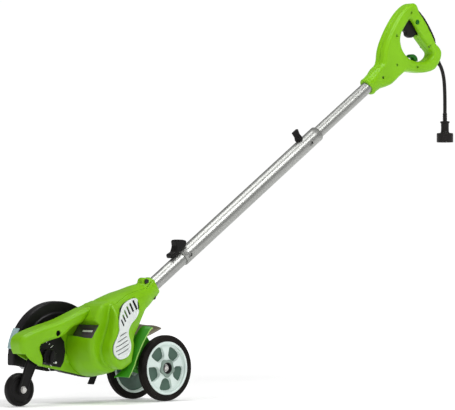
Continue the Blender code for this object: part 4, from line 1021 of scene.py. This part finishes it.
def hex_bolt(name, place, direction, radius, height, flange):
    """A hexagon bolt head on a washer face."""
    mesh = bpy.data.meshes.new(name)
    shape = bmesh.new()
    rows = []
    for share, h in ((0.0, 0.0), (0.0, 0.0010), (1.0, 0.0010), (1.0, height - 0.0006), (0.88, height),
                     (0.55, height),
                     (0.45, height - 0.0005)):
        row = []
        for k in range(60):
            t = 2 * math.pi * k / 60
            hexa = radius * math.cos(math.pi / 6) / math.cos((t % (math.pi / 3)) - math.pi / 6)
            size = flange * (0.97 if h > 0 else 1.0) if share == 0.0 else hexa * share
            row.append(shape.verts.new((size * math.cos(t), size * math.sin(t), h)))
        rows.append(row)
    for first, second in zip(rows, rows[1:]):
        for k in range(60):
            shape.faces.new((first[k], first[(k + 1) % 60], second[(k + 1) % 60], second[k]))
    shape.faces.new(rows[-1])
    shape.faces.new(rows[0][::-1])
    bmesh.ops.recalc_face_normals(shape, faces=shape.faces)
    shape.to_mesh(mesh)
    shape.free()
    turn = Vector(direction).to_track_quat("Z", "Y").to_matrix().to_4x4()
    mesh.transform(Matrix.Translation(place) @ turn)
    return dress(smooth(link(bpy.data.objects.new(name, mesh)), 30), "steel")


def make_front():
    place = W(FRONT[0], 0.0, FRONT[1])
    half = [(0.0043, 0.0026), (0.0090, 0.0026), (0.0100, 0.0046), (0.0235, 0.0052), (0.0250, 0.0028),
            (0.0285, 0.0026), (0.0312, 0.0046), (0.0320, 0.0076)]
    profile = soft(half + [(x, 0.0220 - y) for x, y in half[::-1]], 0.0010, 3)
    show(lathe("edge_wheel", profile, place, (0, 1, 0), "black", 96, True, 60),
         "front_roller", "black_plastic",
         "front_wheel")
    bolt = [(0.0, 0.0235), (0.0068, 0.0235), (0.0068, 0.0200), (0.0040, 0.0200), (0.0040, -0.0024),
            (0.0068, -0.0024),
            (0.0068, -0.0032), (0.0, -0.0032)]
    shank = lathe("wheel_bolt_shank", soft(bolt, 0.0003), place, (0, 1, 0), "steel", 40)
    head = hex_bolt("wheel_bolt_head", W(FRONT[0], -0.0032, FRONT[1]), (0, -1, 0), 0.0056, 0.0034, 0.0060)
    show(join("wheel_bolt", [shank, head]), "depth_carrier", "plain_steel", "front_wheel_bolt")
    route = [PIVOT, (-0.2740, 0.0970), (-0.2900, 0.0880), (-0.3020, 0.0660), FRONT]
    b = Block((-0.3300, -0.0035, 0.0180), (-0.2400, 0.0225, 0.1130), 0.0010)
    flat = None
    line = through(route, 6)
    for k, (x, z) in enumerate(line):
        disc = round_y(b, (x, z)) - (0.0140 - 0.0030 * k / (len(line) - 1))
        flat = disc if flat is None else either(flat, disc, 0.002)
    arm = both(flat, np.abs(b.y) - 0.0020, 0.0012)
    rib = both(np.abs(flat + 0.0022) - 0.0011, np.abs(b.y + 0.0020) - 0.0010, 0.0005)
    arm = either(arm, rib, 0.0006)
    arm = either(arm, b.rod((PIVOT[0], 0.0, PIVOT[1]), (PIVOT[0], 0.0209, PIVOT[1]), 0.0090, 0.0008), 0.0012)
    arm = np.maximum(arm, 0.0043 - round_y(b, PIVOT))
    arm = np.maximum(arm, 0.0043 - round_y(b, FRONT))
    show(b.solid("edge_arm", arm, "black"), "depth_carrier", "black_plastic", "depth_arm")
    b = Block((-0.2730, -0.0175, 0.0760), (-0.2390, -0.0015, 0.1100), 0.0007)
    r = round_y(b, PIVOT)
    a = np.arctan2(b.z - PIVOT[1], b.x - PIVOT[0])
    base = both(r - (0.0146 + 0.0006 * np.cos(18 * a)), np.abs(b.y + 0.0056) - 0.0029, 0.0010)
    u, v = turned(b, PIVOT, math.radians(78.0))
    grip = both(both(np.abs(u) - 0.0148, np.abs(v) - (0.0034 + 0.0016 * np.cos(u * 210)), 0.0020),
                np.abs(b.y + 0.0115) - 0.0048, 0.0016)
    grip = np.maximum(grip, r - 0.0154)
    body = either(base, grip, 0.0016)
    knob = b.solid("depth_grip", body, "black")
    pin = lathe("depth_pin", soft([(0.0, 0.0), (0.004, 0.0), (0.004, 0.0330), (0.0, 0.0330)], 0.0004),
                W(PIVOT[0], -0.0030, PIVOT[1]), (0, 1, 0), "steel", 32)
    show(join("depth_screw_grip", [knob, pin]), "depth_screw", "black_plastic", "depth_knob")


# ------------------------------------------------------------------ shaft
def make_shaft():
    tubes = (("lower_tube", 0.0125, 0.0140, -0.110, 0.150, "chassis"),
             ("middle_tube", 0.0144, 0.0165, 0.092, 0.552, "middle_shaft"),
             ("upper_tube", 0.0112, 0.0127, 0.400, 0.785, "upper_shaft"))
    for node, inner, outer, start, end, body in tubes:
        size = end - start
        lip = 0.0012 if node == "middle_tube" else 0.0006
        profile = [(inner, size)] + [(inner, 0.0), (outer - lip, 0.0), (outer, lip)] + [
            (outer, lip + (size - 2 * lip) * k / 30) for k in range(1, 31)] + [(outer - lip, size)]
        obj = lathe(node + "_pipe", profile, on_shaft(start), (DX, 0, DZ), "tube", 96, True, 50)
        if node == "middle_tube":
            for t, up, side in ((0.1064, 0.0, -1), (0.5166, 0.0, -1), (0.501, 1, 0)):
                reach = on_shaft(t, 0.024, 0.0) if up else on_shaft(t, 0.0, side * 0.024)
                foot = on_shaft(t, 0.0135, 0.0) if up else on_shaft(t, 0.0, side * 0.012)
                hole = lathe("hole", [(0.0, 0.0), (0.0034, 0.0), (0.0034, (reach - foot).length),
                                      (0.0, (reach - foot).length)], foot, reach - foot, "void", 32)
                cut = obj.modifiers.new("hole", "BOOLEAN")
                cut.operation, cut.solver, cut.object = "DIFFERENCE", "EXACT", hole
                bpy.context.view_layer.update()
                graph = bpy.context.evaluated_depsgraph_get()
                mesh = bpy.data.meshes.new_from_object(obj.evaluated_get(graph))
                obj.modifiers.clear()
                obj.data = mesh
                bpy.data.objects.remove(hole, do_unlink=True)
            dress(obj, "tube")
        show(obj, body, "tube_silver", node)
    frame_turn = Matrix.Rotation(-ANGLE, 4, "Y")

    def local(name, low, high, step, fn, key):
        """A piece made in the shaft's own directions: x along it, z above it."""
        b = Block(low, high, step)
        return placed(b.solid(name, fn(b), key), Matrix.Translation(W(FOOT[0], 0.0, FOOT[1])) @ frame_turn)

    outline = [(-0.0050, -0.0010), (-0.0030, -0.0045), (0.0020, -0.0045), (0.0080, -0.0043),
               (0.0200, -0.0040),
               (0.0385, -0.0026), (0.0450, 0.0060), (0.0255, 0.0205), (0.0190, 0.0110), (0.0100, 0.0040),
               (0.0040, 0.0040), (-0.0025, 0.0045)]
    loop = [(0.0715 + x, 0.0216 + z) for x, z in through(outline, 3, True)]

    def lever(b):
        flat = b.polygon(loop)
        body = both(flat, np.abs(b.y) - 0.0090, 0.0022)
        for k in range(4):
            groove = np.maximum(np.abs(b.x - 0.0965 - 0.0040 * k) - 0.0007, -(flat + 0.0010))
            body = without(body, groove, 0.0004)
        return body

    show(local("cam_lever", (0.0645, -0.0100, 0.0160), (0.1185, 0.0100, 0.0445), 0.0008, lever, "black"),
         "lower_clamp", "black_plastic", "lower_lever")

    def knob(b):
        u, v = b.x - 0.501, b.z
        half = np.interp(v, [0.0205, 0.0280, 0.0400], [0.0094, 0.0070, 0.0085])
        wing = both(both(np.abs(u) - half, np.abs(v - 0.0303) - 0.0098, 0.0022), np.abs(b.y) - 0.0032, 0.0014)
        stem = b.rod((0.501, 0.0, 0.0172), (0.501, 0.0, 0.0225), 0.0085, 0.0014)
        post = b.rod((0.501, 0.0, 0.0132), (0.501, 0.0, 0.0200), 0.0030)
        return either(either(wing, stem, 0.0016), post, 0.0)

    show(local("wing_knob", (0.4900, -0.0100, 0.0125), (0.5120, 0.0100, 0.0410), 0.0006, knob, "black"),
         "upper_clamp", "black_plastic", "upper_knob")


# ------------------------------------------------------------------ handle
def handle_field(b):
    flat = np.maximum(b.polygon(HANDLE_OUTER), -b.polygon(HANDLE_OPENING))
    body = both(flat, np.abs(b.y) - 0.0165, 0.0075)
    radius = np.interp(b.along(), [0.730, 0.737, 0.742, 0.760, 0.785, 0.810, 0.860],
                       [0.0202, 0.0202, 0.0192, 0.0205,
                       0.0300, 0.0480, 0.2])
    return both(body, np.sqrt(b.above() ** 2 + b.y ** 2) - radius, 0.004)


def make_handle():
    slot_place = Vector((0.7545, 0.0, 0.7830)) - Vector((DIAGONAL, 0.0, DIAGONAL)) * 0.003
    # All six places are numbers that a scratch program printed.
    screws = [(0.736, 0.809), (0.691, 0.757), (0.692, 0.694), (0.649, 0.665), (0.755, 0.692), (0.796, 0.740)]
    for side, sign in (("left", -1), ("right", 1)):
        low, high = (-0.0175, 0.0008) if sign < 0 else (-0.0008, 0.0175)
        b = Block((0.5990, low, 0.6230), (0.8370, high, 0.8330), 0.0012)
        body = handle_field(b)
        hollow = both(body + 0.0042, 0.7900 - b.along())
        body = np.maximum(body, -hollow)
        body = np.maximum(body, 0.00015 - sign * b.y)
        body = without(body, b.rod(shaft_point(0.700), shaft_point(0.7855), 0.0130), 0.0015)
        u = (b.x - slot_place.x) * DIAGONAL - (b.z - slot_place.z) * DIAGONAL
        v = (b.x - slot_place.x) * DIAGONAL + (b.z - slot_place.z) * DIAGONAL
        cut = both(both(np.abs(u) - 0.0230, np.abs(v) - 0.0080), np.abs(b.y) - 0.00675)
        body = without(body, cut, 0.0008)
        gland = GLAND_START + GLAND_DIR * 0.010
        a, c = gland - GLAND_DIR * 0.020, gland + GLAND_DIR * 0.020
        body = without(body, b.rod(tuple(a), tuple(c), 0.0068), 0.0008)
        for x, z in screws:
            body = without(body, b.rod((x, sign * 0.0135, z), (x, sign * 0.0200, z), 0.0031), 0.0006)
        if sign < 0:
            body = without(body, b.rod((0.7550, -0.0220, 0.7900), (0.7550, -0.0080, 0.7900), 0.0053), 0.0006)
        show(b.solid("grip_half_" + side, body, "green"), "upper_shaft", "housing_green", "handle_" + side)
        pins = []
        for k, (x, z) in enumerate(screws):
            cup = soft([(0.0, 0.0), (0.0034, 0.0), (0.0034, 0.0020), (0.0018, 0.0020), (0.0012, 0.0011),
                        (0.0, 0.0011)], 0.0002)
            pins.append(lathe("grip_screw_%d" % k, cup, W(x, sign * 0.0116, z), (0, sign, 0), "void", 24))
        show(join("grip_screws_" + side, pins), "upper_shaft", "black_plastic")
    b = Block((0.7500, -0.0180, 0.7350), (0.8300, 0.0180, 0.8320), 0.0009)
    body = handle_field(b)
    t = ((b.x - 0.7590) * 0.0570 - (b.z - 0.8190) * 0.0710) / math.hypot(0.0570, 0.0710)
    wide = np.interp(t, [0.0, 0.010, 0.030, 0.060, 0.082, 0.090], [0.0060, 0.0120, 0.0160,
                                                                   0.0163, 0.0155, 0.0110])
    reach = b.polygon(through([(0.7560, 0.8290), (0.7690, 0.8180), (0.7850, 0.8010), (0.8000, 0.7830),
                               (0.8120, 0.7660), (0.8205, 0.7510), (0.8150, 0.7480), (0.8030, 0.7550),
                               (0.7900, 0.7680), (0.7780, 0.7820), (0.7690, 0.7940), (0.7595, 0.8110)],
                               3, True))
    pad = both(body - 0.0037, np.abs(b.y) - wide, 0.0010)
    pad = both(pad, reach, 0.0010)
    pad = np.maximum(pad, -(body - 0.0003))
    for k in range(9):
        groove = np.maximum(np.abs(t - 0.018 - 0.0075 * k) - 0.0005, 0.0022 - body)
        pad = without(pad, groove, 0.0003)
    show(b.solid("grip_rubber", pad, "rubber"), "upper_shaft", "soft_rubber", "grip_pad")


def make_controls():
    # Four of these points are within 1.1 mm of numbers that a scratch program printed.
    outline = [(0.7440, 0.8010), (0.7360, 0.7935), (0.7240, 0.7810), (0.7220, 0.7720), (0.7310, 0.7680),
               (0.7340, 0.7600), (0.7460, 0.7560), (0.7570, 0.7600), (0.7640, 0.7680), (0.7700, 0.7750),
               (0.7620, 0.7830), (0.7500, 0.8010)]
    b = Block((0.7190, -0.0070, 0.7530), (0.7730, 0.0070, 0.8040), 0.0007)
    field = b.prism(b.polygon(through(outline, 3, True)), -0.0060, 0.0060, 0.0024)
    show(b.solid("switch_trigger", field, "black"), "trigger_lever", "black_plastic", "trigger")
    button = soft([(0.0, 0.0010), (0.0040, 0.0010), (0.0050, 0.0), (0.0050, -0.0035), (0.0060, -0.0035),
                   (0.0060, -0.0050), (0.0, -0.0050)], 0.0006)
    show(lathe("lock_off_button", button, W(0.7550, -0.0165, 0.7900), (0, -1, 0), "hook", 48), "lock_slider",
         "dark_green", "lock_button")
    hook = through([(0.7400, 0.7140), (0.7450, 0.7195), (0.7550, 0.7205), (0.7640, 0.7160), (0.7670, 0.7090),
                    (0.7660, 0.7064), (0.7560, 0.7064), (0.7540, 0.7110), (0.7480, 0.7130)], 3, True)
    b = Block((0.7370, -0.0070, 0.7040), (0.7700, 0.0070, 0.7230), 0.0006)
    show(b.solid("cord_keeper", b.prism(b.polygon(hook), -0.0060, 0.0060, 0.0016), "hook"), "upper_shaft",
         "dark_green", "cord_hook")


def make_cord():
    points = through(ROUTE, 8)
    flex = dress(wire("flex", [(x, 0.0, z) for x, z in points], 0.004, 8), "cord")
    show(flex, "upper_shaft", "cord_black", "cord")
    relief = [(0.0, 0.0), (0.0080, 0.0), (0.0080, 0.0025), (0.0062, 0.0027)]
    for k in range(6):
        h, r = 0.0045 + 0.0046 * k, 0.0062 - 0.00022 * k
        relief += [(r, h), (r, h + 0.0024), (r - 0.0009, h + 0.0027), (r - 0.0009, h + 0.0042)]
    relief += [(0.0047, 0.0325), (0.0047, GLAND_LENGTH), (0.0, GLAND_LENGTH)]
    place = W(GLAND_START.x, 0.0, GLAND_START.z)
    gland = lathe("strain_relief", soft(relief, 0.0003, 2), place, tuple(GLAND_DIR), "rubber", 48)
    show(gland, "upper_shaft", "cord_black", "cord_gland")
    top = ROUTE[-1][1] - 0.0003
    profile = [(0.0, 0.0), (0.0045, 0.0)]
    for k in range(4):
        h = -0.0020 - 0.0038 * k
        profile += [(0.0049, h), (0.0050, h - 0.0020), (0.0043, h - 0.0023), (0.0043, h - 0.0034)]
    profile += [(0.0050, -0.0172), (0.0104, -0.0180), (0.0104, -0.0210), (0.0088, -0.0225), (0.0086, -0.0310),
                (0.0088, -0.0400), (0.0100, -0.0430), (0.0176, -0.0440), (0.0182, -0.0455), (0.0182, -0.0640),
                (0.0160, -0.0640), (0.0160, -0.0520), (0.0, -0.0520)]
    body = lathe("plug_body", soft(profile, 0.0006, 3), W(ROUTE[-1][0], 0.0, top), (0, 0, 1), "cord", 72)
    pieces = [body]
    for k, shift in enumerate((-0.0064, 0.0064)):
        b = Block((-0.0016, -0.0040, -0.0070), (0.0016, 0.0040, 0.0070), 0.0005)
        blade = both(both(np.abs(b.y) - 0.00315, np.abs(b.z) - 0.0060, 0.0012), np.abs(b.x) - 0.00075, 0.0004)
        prong = b.solid("plug_prong_%d" % k, blade, "steel")
        pieces.append(placed(prong, Matrix.Translation(W(ROUTE[-1][0] + shift, 0.0, top - 0.0575))))
    plug = show(join("mains_plug", pieces), "upper_shaft", "cord_black", "plug")


# ------------------------------------------------------------------ pieces that keep their CAD shape
KEPT = {
    "tube_holder": "black", "pinion": "steel", "idler_gear": "steel", "spindle_gear": "steel",
    "idler_pin": "steel", "stator_core": "core", "field_winding": "copper", "armature_core": "core",
    "commutator": "copper", "armature_shaft": "steel", "armature_bearing_front": "steel",
    "armature_bearing_rear": "steel", "brush_bracket": "black", "cooling_fan": "fan", "spindle": "steel",
    "spindle_bearing": "steel", "blade": "blade", "blade_washer": "steel", "blade_nut": "steel",
    "switch_module": "black",
}


def make_screws():
    """Black screw heads in the two bosses of the socket."""
    cup = soft([(0.0, 0.0), (0.0050, 0.0), (0.0050, 0.0016), (0.0030, 0.0022), (0.0016, 0.0014),
                (0.0, 0.0012)],
               0.0003)
    heads = [lathe("socket_screw_0", cup, W(-0.0165, -0.0125, 0.2350), (0, -1, 0), "void", 36),
             lathe("socket_screw_1", cup, W(0.0000, -0.0150, 0.2040), (0, -1, 0), "void", 36)]
    show(join("socket_screws", heads), "chassis", "black_plastic")


# ------------------------------------------------------------------ stage
def make_stage():
    scene = bpy.context.scene
    scene.view_settings.view_transform = "Standard"
    world = bpy.data.worlds.new("studio")
    scene.world = world
    world.use_nodes = True
    tree = world.node_tree
    back = tree.nodes["Background"]
    back.inputs[0].default_value = (1.0, 1.0, 1.0, 1.0)
    split = tree.nodes.new("ShaderNodeSeparateXYZ")
    tree.links.new(tree.nodes.new("ShaderNodeTexCoord").outputs["Generated"], split.inputs[0])
    height = tree.nodes.new("ShaderNodeMath")
    height.operation = "ABSOLUTE"
    tree.links.new(split.outputs["Z"], height.inputs[0])
    fade = tree.nodes.new("ShaderNodeMapRange")
    for key, number in zip(("From Min", "From Max", "To Min", "To Max"), (0.09, 0.20, 1.02, 0.24)):
        fade.inputs[key].default_value = number
    tree.links.new(height.outputs[0], fade.inputs["Value"])
    tree.links.new(fade.outputs["Result"], back.inputs[1])
    mesh = bpy.data.meshes.new("floor")
    shape = bmesh.new()
    bmesh.ops.create_grid(shape, x_segments=8, y_segments=8, size=40.0)
    shape.to_mesh(mesh)
    shape.free()
    floor = link(bpy.data.objects.new("floor", mesh))
    floor.location = (0.0, 0.0, -0.0006)
    mat = shader("studio_floor", (0.90, 0.90, 0.90), 0.85, mottle=0.004, patch=1.5, grain=60, bump=0.01,
                 specular=0.1)
    main = mat.node_tree.nodes["Principled BSDF"]
    main.inputs["Emission Color"].default_value = (1.0, 1.0, 1.0, 1.0)
    tree = mat.node_tree
    reach = tree.nodes.new("ShaderNodeVectorMath")
    reach.operation = "LENGTH"
    tree.links.new(tree.nodes.new("ShaderNodeTexCoord").outputs["Object"], reach.inputs[0])
    glow = tree.nodes.new("ShaderNodeMapRange")
    for key, number in zip(("From Min", "From Max", "To Min", "To Max"), (0.6, 2.2, 0.24, 0.80)):
        glow.inputs[key].default_value = number
    tree.links.new(reach.outputs["Value"], glow.inputs["Value"])
    tree.links.new(glow.outputs["Result"], main.inputs["Emission Strength"])
    mesh.materials.append(mat)
    for name, place, size, power in (("key", (0.3, -2.2, 3.0), 1.4, 54.0), ("fill", (-2.6, -1.2, 1.8),
                                                                            1.6, 9.0),
                                     ("top", (-0.4, 0.2, 3.0), 1.6, 36.0)):
        data = bpy.data.lights.new(name, "AREA")
        data.shape = "DISK"
        data.size = size
        data.energy = power
        lamp = link(bpy.data.objects.new(name, data))
        lamp.location = place
        lamp.rotation_mode = "QUATERNION"
        lamp.rotation_quaternion = (Vector((0.0, 0.0, 0.3)) - Vector(place)).to_track_quat("-Z", "Y")


def main():
    make_cord()
    make_housing()
    make_cover()
    make_vent()
    make_label()
    make_arm()
    make_plate()
    make_case()
    make_guard()
    make_flaps()
    make_scale()
    make_carrier()
    make_wheels()
    make_front()
    make_shaft()
    make_handle()
    make_controls()
    make_screws()
    for node, key in KEPT.items():
        dress(NODES[node], key)
    make_stage()


main()
